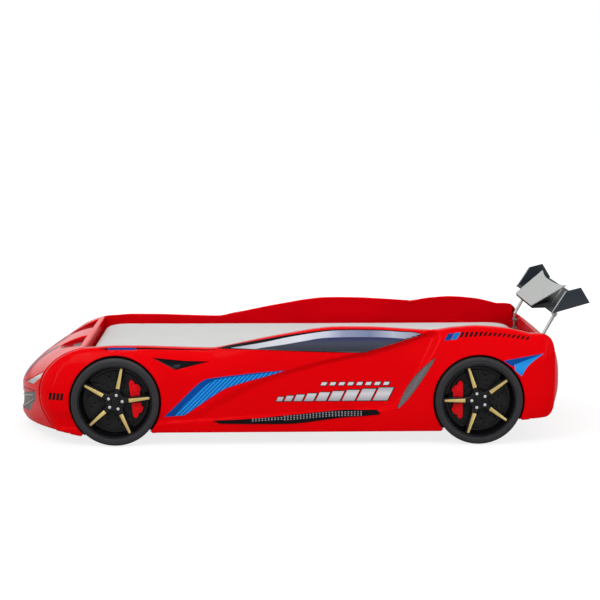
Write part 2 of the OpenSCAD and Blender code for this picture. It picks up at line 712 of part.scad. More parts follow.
// Wheels, built on their own axis with the outer face towards +z
hub_r = 34;
rim_r = tyre_r - tyre_ring;
face_z = wheel_width - 14;
hub_z = face_z - 2;
pocket_z = face_z - 15;
disc_z = 12;
disc_t = 5;

module at_wheel(x) {
    translate([x, -wheel_back, axle_height]) rotate([90, 0, 0]) children();
}

module tyre() {
    color(BLACK) rotate_extrude($fn = 120) polygon([[rim_r, 5], [rim_r + 14, 0], [tyre_r - 5, 2],
        [tyre_r, 9], [tyre_r, wheel_width - 14], [tyre_r - 2, wheel_width - 7],
        [tyre_r - 7, wheel_width - 2], [tyre_r - 14, wheel_width], [rim_r + 5, wheel_width - 1],
        [rim_r, wheel_width - 5]]);
}

module spokes_outline(phase) {
    for (k = [0:4]) rotate(phase + 72 * k)
        polygon([[hub_r + 3, -spoke_root / 2], [hub_r + 14, -spoke_root * 0.4],
            [rim_r - 7, -spoke_tip / 2], [rim_r - 7, spoke_tip / 2],
            [hub_r + 14, spoke_root * 0.4], [hub_r + 3, spoke_root / 2]]);
}

module rim(phase) {
    color(BLACK) {
        difference() {
            union() {
                rotate_extrude($fn = 120) polygon([[hub_r - 12, 2], [rim_r - 14, 2],
                    [rim_r - 0.1, 8], [rim_r - 0.1, wheel_width - 5], [rim_r - 5, wheel_width - 3],
                    [rim_r - 6, wheel_width - 9], [rim_r - 18, 10], [rim_r - 22, 7],
                    [hub_r - 12, 7]]);
                translate([0, 0, 2]) cylinder(r = hub_r, h = hub_z - 2, $fn = 64);
                translate([0, 0, hub_z - 10]) cylinder(r = hub_r + 6, h = 10, $fn = 64);
                translate([0, 0, face_z - 12]) linear_extrude(12) spokes_outline(phase);
            }
            translate([0, 0, -1]) cylinder(d = axle_d + 2 * axle_clear, h = 90, $fn = 48);
            translate([0, 0, pocket_z]) cylinder(r = 17, h = 30, $fn = 48);
        }
        translate([0, 0, face_z - 5]) cylinder(r = 17 - fit, h = 5, $fn = 48);
    }
}

module inlays(phase) {
    color(GOLD) translate([0, 0, face_z]) linear_extrude(1.6) for (k = [0:4])
        rotate(phase + 72 * k)
            polygon([[57, -spoke_root / 4], [rim_r - 11, -spoke_tip / 4],
                [rim_r - 11, spoke_tip / 4], [57, spoke_root / 4]]);
}

module brake() {
    color(DARK) translate([0, 0, disc_z]) difference() {
        cylinder(r = disc_r, h = disc_t, $fn = 96);
        translate([0, 0, -1]) cylinder(r = hub_r + fit, h = disc_t + 2, $fn = 64);
        for (k = [0:11], j = [0:2]) rotate(30 * k + 7 * j)
            translate([64 + 20 * j, 0, -1]) cylinder(d = 6, h = disc_t + 2, $fn = 16);
    }
}

module caliper(phase) {
    color(RED) rotate(phase) translate([0, 0, disc_z + disc_t + fit]) {
        linear_extrude(15) for (side = [0, 1]) mirror([0, side]) {
            polygon([[65, 0], [65, 70], [72, 80], [80, 79], [86, 72], [88, 62], [97, 60], [104, 55],
                [106, 40], [103, 0]]);
            translate([99, 41]) circle(r = 11, $fn = 32);
        }
        for (side = [-1, 1]) translate([86, side * 41, 0]) cylinder(r = 12, h = 17.5, $fn = 32);
    }
}

module nuts(phase) {
    color(SILVER) for (k = [0:4]) rotate(phase + 72 * k) translate([30, 0, hub_z]) {
        cylinder(d = nut_d, h = 6, $fn = 6);
        cylinder(d = nut_d - 4, h = 8, $fn = 24);
    }
}

module axle_bolts() {
    color(SILVER) both_sides() for (x = [front_axle_x, rear_axle_x])
        translate([x, -board_in, axle_height]) rotate([90, 0, 0]) {
            translate([0, 0, 0.5]) cylinder(d = axle_d + 9, h = 5.5, $fn = 6);
            translate([0, 0, 0.5]) cylinder(d = axle_d, h = wheel_back - board_in + pocket_z + 7,
                $fn = 48);
            translate([0, 0, board_t]) cylinder(d = axle_d + 14,
                h = wheel_back - board_out + 2 - fit, $fn = 48);
            translate([0, 0, wheel_back - board_in + pocket_z + fit])
                cylinder(d = axle_d + 10, h = 6, $fn = 6);
        }
}

front_phase = 6.7;
rear_phase = 180;

// Wing: posts, brackets, plank, centre panel and end plates
post_x = well_rear_x - 8;
post_low = tail_height - 76.5;
function post_at(d) = [post_x + d * sin(post_lean), post_bend_height + d * cos(post_lean)];
module wing_post() {
    translate([post_x, -post_half, 0]) {
        translate([0, 0, post_low])
            cylinder(d = post_d, h = post_bend_height - post_low, $fn = 32);
        translate([0, 0, post_bend_height]) sphere(d = post_d + 0.8, $fn = 32);
        translate([0, 0, post_bend_height]) rotate([0, post_lean, 0])
            cylinder(d = post_d, h = post_upper, $fn = 32);
    }
}

module wing_posts() { color(SILVER) both_sides() wing_post(); }

// Plank frame: origin on the underside above the posts' ends, x along the chord
post_end = post_at(post_upper);
bracket_high = 20;
module on_plank() {
    translate([post_end[0], 0, post_end[1] + bracket_high]) rotate([0, -wing_slope, 0])
        children();
}
plank_front = -33;
plank_back = plank_front + wing_chord;
plank_nose = -77;
plank_half = wing_half - 4;

module wing_plank() {
    color(BLACK) on_plank() linear_extrude(wing_t) polygon([
        [plank_nose, -centre_front_half], [plank_front, -centre_rear_half],
        [plank_front, -plank_half], [plank_back, -plank_half], [plank_back, plank_half],
        [plank_front, plank_half], [plank_front, centre_rear_half],
        [plank_nose, centre_front_half]]);
}

// The centre panel leans on the front edge of the plank and rises to the rear
panel_skin_t = 5;
module on_centre() {
    on_plank() translate([plank_nose, 0, wing_t + fit])
        rotate([0, wing_slope - centre_slope, 0]) children();
}
module wing_centre_panel() {
    color(SILVER) on_centre() linear_extrude(panel_skin_t) difference() {
        polygon([[0, -centre_front_half], [centre_chord, -centre_rear_half],
            [centre_chord, centre_rear_half], [0, centre_front_half]]);
        translate([centre_chord + 2 * centre_rear_half - 20, 0])
            circle(r = 2 * centre_rear_half, $fn = 180);
    }
}

// Flat struts between the plank and the centre panel, and sockets on the posts' ends
strut_low = 4;
strut_high = 92;
lean = centre_slope - wing_slope;
function under_panel(d) = [plank_nose + d * cos(lean), wing_t + fit + d * sin(lean)];
module on_post_end() {
    rotate([0, wing_slope, 0]) translate([0, 0, -bracket_high]) rotate([0, post_lean, 0])
        children();
}
module wing_brackets() {
    color(SILVER) both_sides() {
        on_plank() translate([0, -post_half, 0]) {
            translate([-18, -16, -3 - fit]) cube([36, 32, 3]);
            difference() {
                union() {
                    on_post_end() translate([0, 0, -16]) cylinder(d = post_d + 6, h = 18, $fn = 32);
                    translate([-12, -4, -bracket_high]) cube([14, 8, bracket_high - 2]);
                }
                on_post_end() translate([0, 0, -30]) cylinder(d = post_d + 0.2, h = 30.2, $fn = 32);
            }
        }
        on_plank() translate([0, -centre_rear_half + 22, 0]) rotate([90, 0, 0])
            linear_extrude(10) polygon([[strut_low, wing_t + fit], [strut_low + 12, wing_t + fit],
                under_panel(centre_chord - 14) + [0, -fit], under_panel(centre_chord - 28)
                + [0, -fit]]);
    }
}

// End plates stand on the ends of the plank; local x and z along the plank
plate_t = 8;
plate_x = -35;
plate_outline = [[0, -1], [84, 73], [145, 71], [164.5, -1]];
module end_plate() {
    on_plank() translate([plate_x, -plank_half - fit, 0]) rotate([90, 0, 0])
        linear_extrude(plate_t) polygon(plate_outline);
}

module left_end_plate() { color(DARK) end_plate(); }

module right_end_plate() { color(DARK) mirror([0, 1, 0]) end_plate(); }

module end_plate_trims() {
    color(SILVER) both_sides() on_plank() translate([plate_x, -plank_half - fit, 0])
        rotate([90, 0, 0]) linear_extrude(plate_t + 1) polygon([[-4.5, -1], [-0.4, -1],
            [83.4, 73], [79, 73]]);
}

// Saddles hold the posts against the rear board
saddle_z = [tail_height - 58.5, tail_height - 18.5];
module post_saddles() {
    color(SILVER) both_sides() for (z = saddle_z) translate([well_rear_x, -post_half, z - 6])
        difference() {
            union() {
                translate([-18, -11, 0]) cube([18, 22, 12]);
                translate([-3, -22, 0]) cube([3, 44, 12]);
            }
            translate([post_x - well_rear_x, 0, -1]) cylinder(d = post_d + 0.2, h = 14, $fn = 32);
        }
}

module saddle_screws() {
    color(SILVER) both_sides() for (z = saddle_z, side = [-1, 1])
        translate([well_rear_x - 3, -post_half + side * 16.5, z]) rotate([0, -90, 0])
            cylinder(d = 8, h = 2.4, $fn = 24);
}

// Mattress: stacked rounded rectangles with a waist, tight borders and a crown
layer_points = 12;
function ring(half_l, half_w, r, z) = [for (q = [0:3], k = [0:layer_points - 1])
    let (a = 90 * q + 90 * k / (layer_points - 1), sx = q == 0 || q == 3 ? 1 : -1,
        sy = q < 2 ? 1 : -1)
    [sx * (half_l - r) + r * cos(a), sy * (half_w - r) + r * sin(a), z]];
// Inset of the side and height of each layer, as shares of the waist and of the height
edge_r = 26;
layers = concat(
    [for (a = [0, 30, 60, 90]) [edge_r * 0.5 * (1 - sin(a)), edge_r * 0.5 * (1 - cos(a))]],
    [for (k = [1:4]) let (u = k / 5) [mattress_waist * sin(180 * u),
        mix(edge_r * 0.5, mattress_height - edge_r, u)]],
    [for (a = [0, 22.5, 45, 67.5]) [edge_r * (1 - cos(a)), mattress_height - edge_r
        + edge_r * sin(a)]]);
crown_steps = [30, 60, 110, 180, 270, 360];
half_w = mattress_width / 2;
half_l = mattress_length / 2;
crown_layers = [for (d = crown_steps) [d, mattress_height + mattress_crown
    * (1 - pow(1 - d / (half_w - 20), 2))]];
all_layers = concat(layers, crown_layers);
ring_size = 4 * layer_points;
function layer_ring(l) = ring(half_l - l[0], half_w - l[0], max(12, mattress_corner - l[0] * 0.6),
    l[1]);
module mattress() {
    count = len(all_layers);
    points = concat([for (l = all_layers, p = layer_ring(l)) p],
        [[0, 0, 0], [-half_l + half_w, 0, mattress_height + mattress_crown],
        [half_l - half_w, 0, mattress_height + mattress_crown]]);
    last = count * ring_size;
    color(CLOTH) translate([well_front_x + 4 + half_l, 0, mattress_seat])
        polyhedron(points = points, faces = concat(
            [for (i = [0:count - 2], k = [0:ring_size - 1]) let (n = (k + 1) % ring_size) each
                [[i * ring_size + k, (i + 1) * ring_size + n, i * ring_size + n],
                [i * ring_size + k, (i + 1) * ring_size + k, (i + 1) * ring_size + n]]],
            [for (k = [0:ring_size - 1]) [k, (k + 1) % ring_size, last]],
            [for (k = [0:ring_size - 1]) let (n = (k + 1) % ring_size,
                right = k < layer_points || k >= 3 * layer_points)
                [(count - 1) * ring_size + n, (count - 1) * ring_size + k,
                    right ? last + 2 : last + 1]],
            [[last + 2, last + 1, (count - 1) * ring_size + layer_points],
            [last + 1, last + 2, (count - 1) * ring_size + 3 * layer_points]]));
}

left_side_panel();
right_side_panel();
hood();
front_bumper();
tail_panel();
headlights();
grille_mesh();
grille_blades();
scoop_meshes();
side_vents();
fender_vents();
sill_strips();
left_inner_board();
right_inner_board();
front_board();
rear_board();
ledger_rails();
centre_beam();
slats();
corner_brackets();
bracket_screws();
legs();
feet();
panel_blocks();
axle_bolts();
wing_plank();
wing_centre_panel();
left_end_plate();
right_end_plate();
end_plate_trims();
wing_posts();
wing_brackets();
post_saddles();
saddle_screws();
at_wheel(front_axle_x) tyre();  // front_left_tyre
at_wheel(front_axle_x) rim(front_phase);  // front_left_rim
at_wheel(front_axle_x) inlays(front_phase);  // front_left_inlays
at_wheel(front_axle_x) brake();  // front_left_brake
at_wheel(front_axle_x) caliper(front_phase);  // front_left_caliper
at_wheel(front_axle_x) nuts(front_phase);  // front_left_nuts
mirror([0, 1, 0]) at_wheel(front_axle_x) tyre();  // front_right_tyre
mirror([0, 1, 0]) at_wheel(front_axle_x) rim(front_phase);  // front_right_rim
mirror([0, 1, 0]) at_wheel(front_axle_x) inlays(front_phase);  // front_right_inlays
mirror([0, 1, 0]) at_wheel(front_axle_x) brake();  // front_right_brake
mirror([0, 1, 0]) at_wheel(front_axle_x) caliper(front_phase);  // front_right_caliper
mirror([0, 1, 0]) at_wheel(front_axle_x) nuts(front_phase);  // front_right_nuts
at_wheel(rear_axle_x) tyre();  // rear_left_tyre
at_wheel(rear_axle_x) rim(rear_phase);  // rear_left_rim
at_wheel(rear_axle_x) inlays(rear_phase);  // rear_left_inlays
at_wheel(rear_axle_x) brake();  // rear_left_brake
at_wheel(rear_axle_x) caliper(rear_phase);  // rear_left_caliper
at_wheel(rear_axle_x) nuts(rear_phase);  // rear_left_nuts
mirror([0, 1, 0]) at_wheel(rear_axle_x) tyre();  // rear_right_tyre
mirror([0, 1, 0]) at_wheel(rear_axle_x) rim(rear_phase);  // rear_right_rim
mirror([0, 1, 0]) at_wheel(rear_axle_x) inlays(rear_phase);  // rear_right_inlays
mirror([0, 1, 0]) at_wheel(rear_axle_x) brake();  // rear_right_brake
mirror([0, 1, 0]) at_wheel(rear_axle_x) caliper(rear_phase);  // rear_right_caliper
mirror([0, 1, 0]) at_wheel(rear_axle_x) nuts(rear_phase);  // rear_right_nuts
mattress();
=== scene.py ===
# A child's bed in the shape of a low racing car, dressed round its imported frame.
# Lengths are in millimetres until a mesh is made. The nose points along -X, the side seen first
# is at -Y, and Z = 0 is the floor.
import json
import math

import bpy
import numpy as np
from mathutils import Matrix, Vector
from mathutils.geometry import delaunay_2d_cdt
from mathutils.kdtree import KDTree


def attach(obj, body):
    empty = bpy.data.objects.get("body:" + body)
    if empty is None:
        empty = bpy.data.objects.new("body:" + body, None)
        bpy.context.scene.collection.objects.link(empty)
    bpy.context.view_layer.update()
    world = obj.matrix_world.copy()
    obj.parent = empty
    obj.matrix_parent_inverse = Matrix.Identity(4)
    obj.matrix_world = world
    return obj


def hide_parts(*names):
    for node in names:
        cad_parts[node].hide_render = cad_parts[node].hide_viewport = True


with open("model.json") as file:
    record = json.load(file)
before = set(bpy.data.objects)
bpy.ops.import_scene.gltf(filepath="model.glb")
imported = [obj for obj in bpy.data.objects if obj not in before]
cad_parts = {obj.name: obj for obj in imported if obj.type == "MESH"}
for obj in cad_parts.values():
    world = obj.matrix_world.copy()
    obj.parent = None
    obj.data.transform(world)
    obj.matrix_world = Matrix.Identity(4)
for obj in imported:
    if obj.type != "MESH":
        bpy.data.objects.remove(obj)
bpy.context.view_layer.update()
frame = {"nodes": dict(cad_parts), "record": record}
nodes = frame["nodes"]
MM = 0.001

# Places along, across and up the bed, as in the frame
nose_x = -1213.5
nose_length = 323.5
well_front_x = -890.0
well_rear_x = 1040.0
tail_x = 1112.0
tail_height = 414.5
tail_low = 124.0
panel_front_x = -1079.5
panel_rear_x = 1070.0
panel_length = panel_rear_x - panel_front_x
axle_x = {"front": -758.0, "rear": 747.0}
axle_z = 185.0
arch_r = 190.0
body_half, rail_half, sill_half = 533.0, 490.0, 518.0
flange_edge = 461.5
rail_height, sill_height = 494.0, 54.0
door_depth = 24.0
door_x, door_length = -408.0, 874.0
seam_step = 7.0
cap_front_x, cap_front_z, cap_front_a = -840.5, 214.0, 239.0
cap_front_up, cap_front_down, cap_front_y = 195.0, 215.0, 460.0
cap_rear_x, cap_rear_z, cap_rear_a = 960.0, 256.0, 110.0
cap_rear_down, cap_rear_power, cap_rear_y = 152.0, 4.4, 502.0

# Drop of the rail, rise of the sill and line of the door crease, along the panel
RAIL = [(0, 86), (0.111, 85), (0.14, 79), (0.209, 80.5), (0.278, 86), (0.34, 90), (0.447, 43),
        (0.524, 14), (0.563, 4), (0.601, 3), (0.65, 5), (0.709, 12.5), (0.763, 21), (0.794, 8),
        (0.84, 0), (0.872, 3), (0.91, 12), (0.949, 33), (1, 76)]
SILL = [(0, 8), (0.03, 6), (0.09, -17), (0.2, -6), (0.23, 0), (0.8, 0), (0.82, 30), (0.91, 43),
        (0.96, 50), (1, 60)]
DOOR = [(0, 151), (0.07, 194), (0.19, 251), (0.29, 289), (0.4, 319), (0.57, 356), (0.79, 392),
        (1.06, 463), (1.3, 526)]


def mix(a, b, t):
    return a + (b - a) * t


def smooth(t):
    c = np.clip(t, 0, 1)
    return c * c * (3 - 2 * c)


def columns(*parts):
    """Rows of points from their coordinates."""
    return np.stack(parts, -1)


def rounded(table, x, spread):
    """A line through the points of a table, rounded over a spread to each side."""
    xs, ys = zip(*table)
    weights = (1, 6, 15, 20, 15, 6, 1)
    places = np.linspace(-spread, spread, len(weights))
    return sum(w * np.interp(x + p, xs, ys) for w, p in zip(weights, places)) / sum(weights)


def share(x):
    return (x - panel_front_x) / panel_length


def rail_z(x):
    return rail_height - rounded(RAIL, share(x), 0.018)


def sill_z(x):
    return sill_height + rounded(SILL, share(x), 0.012)


def cap_part(x):
    """How far a place lies into the front or rear end of the panel: 1 at its edge."""
    front = (cap_front_x - x) / cap_front_a
    rear = (x - cap_rear_x) / cap_rear_a
    return np.clip(np.where(x < cap_front_x, front, rear), 0, 1)


def cap_power(x):
    return np.where(x > cap_rear_x, cap_rear_power, 2.0)


def cap_mid(x):
    along = (x - cap_front_x) / (cap_rear_x - cap_front_x)
    return mix(cap_front_z, cap_rear_z, np.clip(along, 0, 1))


def cap_up(x):
    return rail_z(np.clip(x, cap_front_x, cap_rear_x)) - cap_mid(x)


def cap_down(x):
    return np.where(x > cap_rear_x, cap_rear_down, cap_front_down)


def cap_height(x):
    n = cap_power(x)
    return np.maximum(0, 1 - cap_part(x) ** n) ** (1 / n)


def panel_top(x):
    return cap_mid(x) + cap_up(x) * cap_height(x)


def panel_bottom(x):
    low = cap_mid(x) - cap_down(x) * cap_height(x)
    return np.where(cap_part(x) > 0, np.maximum(sill_z(x), low), sill_z(x))


def intake_x(z):
    return 400 + 190 * np.clip((z - 146) / 290, 0, 1) ** 0.75 - 0.5 * np.maximum(0, 146 - z)


def strip_z(x):
    return 107 + 0.0604 * (x + 371)


def recess(x, z):
    """Depth of the door recess, below its crease and ahead of the rear fender."""
    along = (x - door_x) / door_length
    slope = mix(42, 10, np.clip((along - 0.2) / 0.6, 0, 1))
    crease = rounded(DOOR, along, 0.035)
    return (mix(0.35, 1, np.clip(along, 0, 1)) * door_depth
            * smooth((crease - z) / slope)
            * smooth((intake_x(z) - x) / 42)
            * smooth((z - strip_z(x) + 6) / 16)
            * smooth((rail_z(x) - z) / 30))


def panel_y(x, z):
    """Distance of the side panels' outer face from the middle plane."""
    part, mid, n = cap_part(x), cap_mid(x), cap_power(x)
    tall = np.where(z > mid, (z - mid) / cap_up(x), (mid - z) / cap_down(x))
    rho = (part ** n + np.maximum(0, tall) ** n) ** (1 / n)
    rim = mix(sill_half, rail_half, smooth((z - mid + 60) / 120))
    cap = np.where(x > cap_rear_x, cap_rear_y, cap_front_y)
    edge = rim + (cap - rim) * part ** 2
    bend = np.where(x < cap_front_x, 4, mix(4, 3, smooth((x - cap_front_x) / 300)))
    lip = sum(4 * np.exp(-((np.hypot(x - a, z - axle_z) - arch_r) / 26) ** 2)
              for a in axle_x.values())
    return (body_half - (body_half - edge) * np.minimum(1.05, rho) ** bend
            + lip * (1 - rho ** 2) - recess(x, z))


# The nose, blended from a centre section to the front edge of the side panels
hood_line_z, lip_z = 188.0, 34.0
seam_low = -46.0
seam_high = math.degrees(math.acos((cap_front_x - well_front_x) / cap_front_a))
hood_back_z = cap_front_z + cap_front_up * math.sin(math.radians(seam_high))


def seam_angle(v):
    return np.radians(np.where(v > 0, v * seam_high, -v * seam_low))


def seam_xz(v):
    a = seam_angle(v)
    reach = np.where(v > 0, cap_front_up, cap_front_down)
    return cap_front_x - cap_front_a * np.cos(a), cap_front_z + reach * np.sin(a)


def centre_xz(v):
    turn = np.radians(90 * np.clip(v, 0, 1))
    x_high = well_front_x - (nose_length - 4) * np.maximum(0, np.cos(turn)) ** (4 / 3)
    z_high = hood_line_z + (hood_back_z - hood_line_z) * np.sin(turn) ** (4 / 3)
    x_low = nose_x + 4 - 4 * smooth((-v - 0.4) / 0.35) + 12 * smooth((-v - 0.82) / 0.18)
    z_low = mix(hood_line_z, lip_z, -v)
    return np.where(v > 0, x_high, x_low), np.where(v > 0, z_high, z_low)


def nose_point(s, v):
    """A point of the nose: s runs across to 1 at the seam, v is 0 at the hood line, 1 at the
    front board and -1 at the lip."""
    w = np.abs(s) ** 1.5
    sx, sz = seam_xz(v)
    cx, cz = centre_xz(v)
    y = s * (panel_y(sx, sz) - seam_step)
    return columns(mix(cx, sx, w), y, mix(cz, sz, w))


scoop_reach, scoop_rim, scoop_tip = 142.0, 20.0, 136.0
scoop_front_floor, scoop_depth = 355.0, 27.0
hollow_share, wall_height = 0.25, 22.0


def scoop_share(x):
    return (x - well_front_x + scoop_reach) / (scoop_reach - scoop_rim)


def scoop_floor(x):
    return mix(scoop_front_floor, hood_back_z - scoop_depth, scoop_share(x))


def scoop_mask(p):
    u = np.clip(scoop_share(p[:, 0]), 0, 1)
    inner, outer, y = scoop_tip - 26 * np.sqrt(u), scoop_tip + 280 * u ** 0.55, np.abs(p[:, 1])
    return (smooth((y - inner) / 20) * smooth((outer - y) / 26) * smooth(u / 0.22)
            * smooth((well_front_x - scoop_rim - p[:, 0]) / 12))


def hood_point(s, v):
    """The nose with the two scoops sunk into it."""
    p = nose_point(s, v)
    p[:, 2] -= scoop_mask(p) * np.maximum(0, p[:, 2] - scoop_floor(p[:, 0]))
    return p


def in_scoop(p):
    """Which points of the hood lie on the floor or the walls of a scoop."""
    return (scoop_mask(p) > hollow_share) & (np.abs(p[:, 2] - scoop_floor(p[:, 0])) < wall_height)


def inward(v):
    """From straight back at the hood line to straight down at the front board."""
    a = np.radians(90 * np.clip(v, 0, 1) ** 0.7)
    return columns(np.cos(a), 0 * a, -np.sin(a))


def corner_x(z):
    tall = np.where(z > cap_rear_z, (z - cap_rear_z) / cap_up(cap_rear_x),
                    (cap_rear_z - z) / cap_rear_down)
    tall = np.clip(tall, 0, 1)
    return cap_rear_x + cap_rear_a * (1 - tall ** cap_rear_power) ** (1 / cap_rear_power)


tail_crest_z = 241


def tail_point(s, z):
    """The tail, which leans forward above and below its crest and rounds into the corners."""
    high = 48 * ((z - tail_crest_z) / (tail_height - tail_crest_z)) ** 3
    low = 42 * ((tail_crest_z - z) / 120) ** 2
    middle = tail_x - np.where(z > tail_crest_z, high, low)
    corner = corner_x(z)
    x = mix(middle, corner, np.abs(s) ** 7) - 5 * s ** 2
    return columns(x, s * (panel_y(corner, z) - seam_step), z)


def turned(points, angle):
    """Points in a plane turned about its origin by degrees."""
    c, s = math.cos(math.radians(angle)), math.sin(math.radians(angle))
    return points @ np.array([[c, s], [-s, c]])


def resample(points, step, closed=True):
    """The same line with points about a step apart."""
    line = np.vstack([points, points[:1]]) if closed else np.asarray(points, float)
    length = np.concatenate([[0], np.cumsum(np.linalg.norm(np.diff(line, axis=0), axis=1))])
    count = max(3, int(round(length[-1] / step)))
    at = np.linspace(0, length[-1], count + 1)
    out = np.stack([np.interp(at, length, line[:, k]) for k in range(line.shape[1])], -1)
    return out[:-1] if closed else out


def curve(points, step):
    """A smooth line through a few points, given about a step apart, with both its ends."""
    p = np.asarray(points, float)
    if len(p) == 2:
        return resample(p, step, closed=False)
    ends = np.vstack([2 * p[0] - p[1], p, 2 * p[-1] - p[-2]])
    t = np.linspace(0, 1, 17)[:-1, None]
    parts = [0.5 * (2 * b + (c - a) * t + (2 * a - 5 * b + 4 * c - d) * t ** 2
                    + (3 * b - a - 3 * c + d) * t ** 3)
             for a, b, c, d in zip(ends, ends[1:], ends[2:], ends[3:])]
    return resample(np.vstack(parts + [p[-1:]]), step, closed=False)


def outline(step, *sides):
    """A closed loop of smooth sides, each of which runs on to the next one's first point."""
    return np.vstack([curve([*side, following[0]], step)[:-1]
                      for side, following in zip(sides, sides[1:] + sides[:1])])


def unit(v):
    return v / np.maximum(1e-12, np.linalg.norm(v, axis=-1, keepdims=True))


def moved_in(loop, distance):
    """A closed loop moved inward by a distance, to the left or right as it turns."""
    ahead = unit(np.roll(loop, -1, axis=0) - loop)
    tangent = unit(ahead + unit(loop - np.roll(loop, 1, axis=0)))
    out = columns(tangent[:, 1], -tangent[:, 0])
    x, y = loop.T
    area = np.sum(x * np.roll(y, -1) - np.roll(x, -1) * y)
    amount = distance / np.maximum(0.4, np.sum(ahead * tangent, axis=1))
    return loop - np.sign(area) * out * amount[:, None]


def inside(points, loops):
    """Which points lie inside the first loop and outside the others."""
    x, y = points.T
    odd = np.zeros(len(points), bool)
    for loop in loops:
        for (x0, y0), (x1, y1) in zip(loop, np.roll(loop, -1, axis=0)):
            if y0 != y1:
                odd ^= ((y0 > y) != (y1 > y)) & (x < (x1 - x0) * (y - y0) / (y1 - y0) + x0)
    return odd


def fill(loops, step):
    """Points and triangles that fill the first loop round the others, and each loop's points."""
    low, high = loops[0].min(0), loops[0].max(0)
    across = np.meshgrid(np.arange(low[0] + step / 2, high[0], step),
                         np.arange(low[1] + step / 2, high[1], step))
    lattice = np.stack(across, -1).reshape(-1, 2)
    lattice = lattice[inside(lattice, loops)]
    border = np.vstack(loops)
    tree = KDTree(len(border))
    for i, p in enumerate(border):
        tree.insert((p[0], p[1], 0), i)
    tree.balance()
    far = [tree.find((x, y, 0))[2] > 0.6 * step for x, y in lattice]
    points = np.vstack([border, lattice[np.array(far, bool)]])
    starts = np.cumsum([0] + [len(loop) for loop in loops])
    edges = [(a + i, a + (i + 1) % (b - a)) for a, b in zip(starts, starts[1:])
             for i in range(b - a)]
    out, _, faces, origin, _, _ = delaunay_2d_cdt([Vector(p) for p in points], edges, [], 0, 1e-6)
    out, faces = np.array(out), np.array(faces)
    faces = faces[inside(out[faces].mean(1), loops)]
    place = np.zeros(len(points), int)
    for new, olds in enumerate(origin):
        place[olds] = new
    return out, faces, [place[a:b] for a, b in zip(starts, starts[1:])]


class Shape:
    """Points, their normals and faces, gathered for one mesh."""

    def __init__(self, points=np.zeros((0, 3)), normals=np.zeros((0, 3)), faces=()):
        self.points, self.normals, self.faces = np.zeros((0, 3)), np.zeros((0, 3)), []
        self.add(points, normals, faces)

    def add(self, points, normals, faces=()):
        """More points, with a normal for each or one for all, and the numbers they get."""
        start = len(self.points)
        self.points = np.vstack([self.points, points])
        self.normals = np.vstack([self.normals, np.broadcast_to(normals, np.shape(points))])
        self.faces += [tuple(int(i) + start for i in f) for f in faces]
        return np.arange(start, len(self.points))

    def face(self, row):
        self.faces.append(tuple(int(i) for i in row))

    def strip(self, a, b, closed=True):
        """Quads between two rows of points."""
        for i in range(len(a) if closed else len(a) - 1):
            j = (i + 1) % len(a)
            self.face((a[i], a[j], b[j], b[i]))

    def strips(self, rows, closed=False):
        for a, b in zip(rows, rows[1:]):
            self.strip(a, b, closed)
        return self

    def joined(self, other):
        self.add(other.points, other.normals, other.faces)
        return self

    def mirrored(self):
        flip = np.array([1, -1, 1])
        return Shape(self.points * flip, self.normals * flip, self.faces)

    def both(self):
        """The shape together with its mirror image."""
        return self.joined(self.mirrored())

    def part(self, wanted):
        """The shape with only the wanted faces, and the points that they use."""
        faces = [f for f, stays in zip(self.faces, wanted) if stays]
        used = np.unique(np.concatenate(faces))
        place = {old: new for new, old in enumerate(used)}
        faces = [[place[i] for i in f] for f in faces]
        return Shape(self.points[used], self.normals[used], faces)

    def mesh(self, name):
        """The mesh, with each face turned to the side of its points' normals."""
        faces = []
        for f in self.faces:
            p = self.points[list(f)]
            way = np.cross(p[1] - p[0], p[2] - p[0]) + np.cross(p[-2] - p[0], p[-1] - p[0])
            faces.append(f[::-1] if way @ self.normals[list(f)].sum(0) < 0 else f)
        mesh = bpy.data.meshes.new(name)
        mesh.from_pydata((self.points * MM).tolist(), [], faces)
        mesh.polygons.foreach_set("use_smooth", [True] * len(faces))
        mesh.normals_split_custom_set_from_vertices(self.normals.tolist())
        mesh.validate(clean_customdata=False)
        return mesh


def skin(surface, loops, step, outward, size=0.5, low=None, high=None):
    """A shape that follows surface(uv) inside loops, and its border rows."""
    uv, faces, rows = fill(loops, step)

    def at(p):
        return surface(np.clip(p, low, high) if low is not None else p)

    du, dv = np.array([size, 0]), np.array([0, size])
    normals = unit(np.cross(at(uv + du) - at(uv - du), at(uv + dv) - at(uv - dv)))
    if (normals @ np.array(outward)).mean() < 0:
        normals = -normals
    return Shape(at(uv), normals, faces), rows


def rim(shape, row, radius, depth, into, back=0.0, hole=False, fillet=5):
    """Turns the border of a skin over a fillet, and carries it on into the body."""
    points, normals = shape.points[row], shape.normals[row]
    tangent = unit(np.roll(points, -1, axis=0) - np.roll(points, 1, axis=0))
    out = unit(np.cross(tangent, normals))
    away = (out * (points - points.mean(0))).sum(1).mean()
    if (away < 0) != hole:
        out = -out

    def column(value):
        return np.broadcast_to(np.asarray(value, float), (len(row),))[:, None]

    radius, back, into = column(radius), column(back), np.asarray(into, float)
    depth = column(depth(points, out, radius[:, 0]) if callable(depth) else depth)
    turn = np.minimum(2.5, depth / 4)
    edge = points + radius * out + (depth - turn) * into
    rings = [(points + radius * (math.sin(t) * out + (1 - math.cos(t)) * into),
              unit(math.cos(t) * normals + math.sin(t) * out))
             for t in (math.pi / 2 * k / fillet for k in range(1, fillet + 1))]
    rings.append((edge, out))
    if back.max() > 0:
        rings += [(edge - turn * (1 - math.cos(t)) * out + turn * math.sin(t) * into,
                   unit(math.cos(t) * out + math.sin(t) * into))
                  for t in (math.pi / 4, math.pi / 2)]
        rings.append((points + (radius - turn - back) * out + depth * into, into))
    shape.strips([row] + [shape.add(*ring) for ring in rings], closed=True)


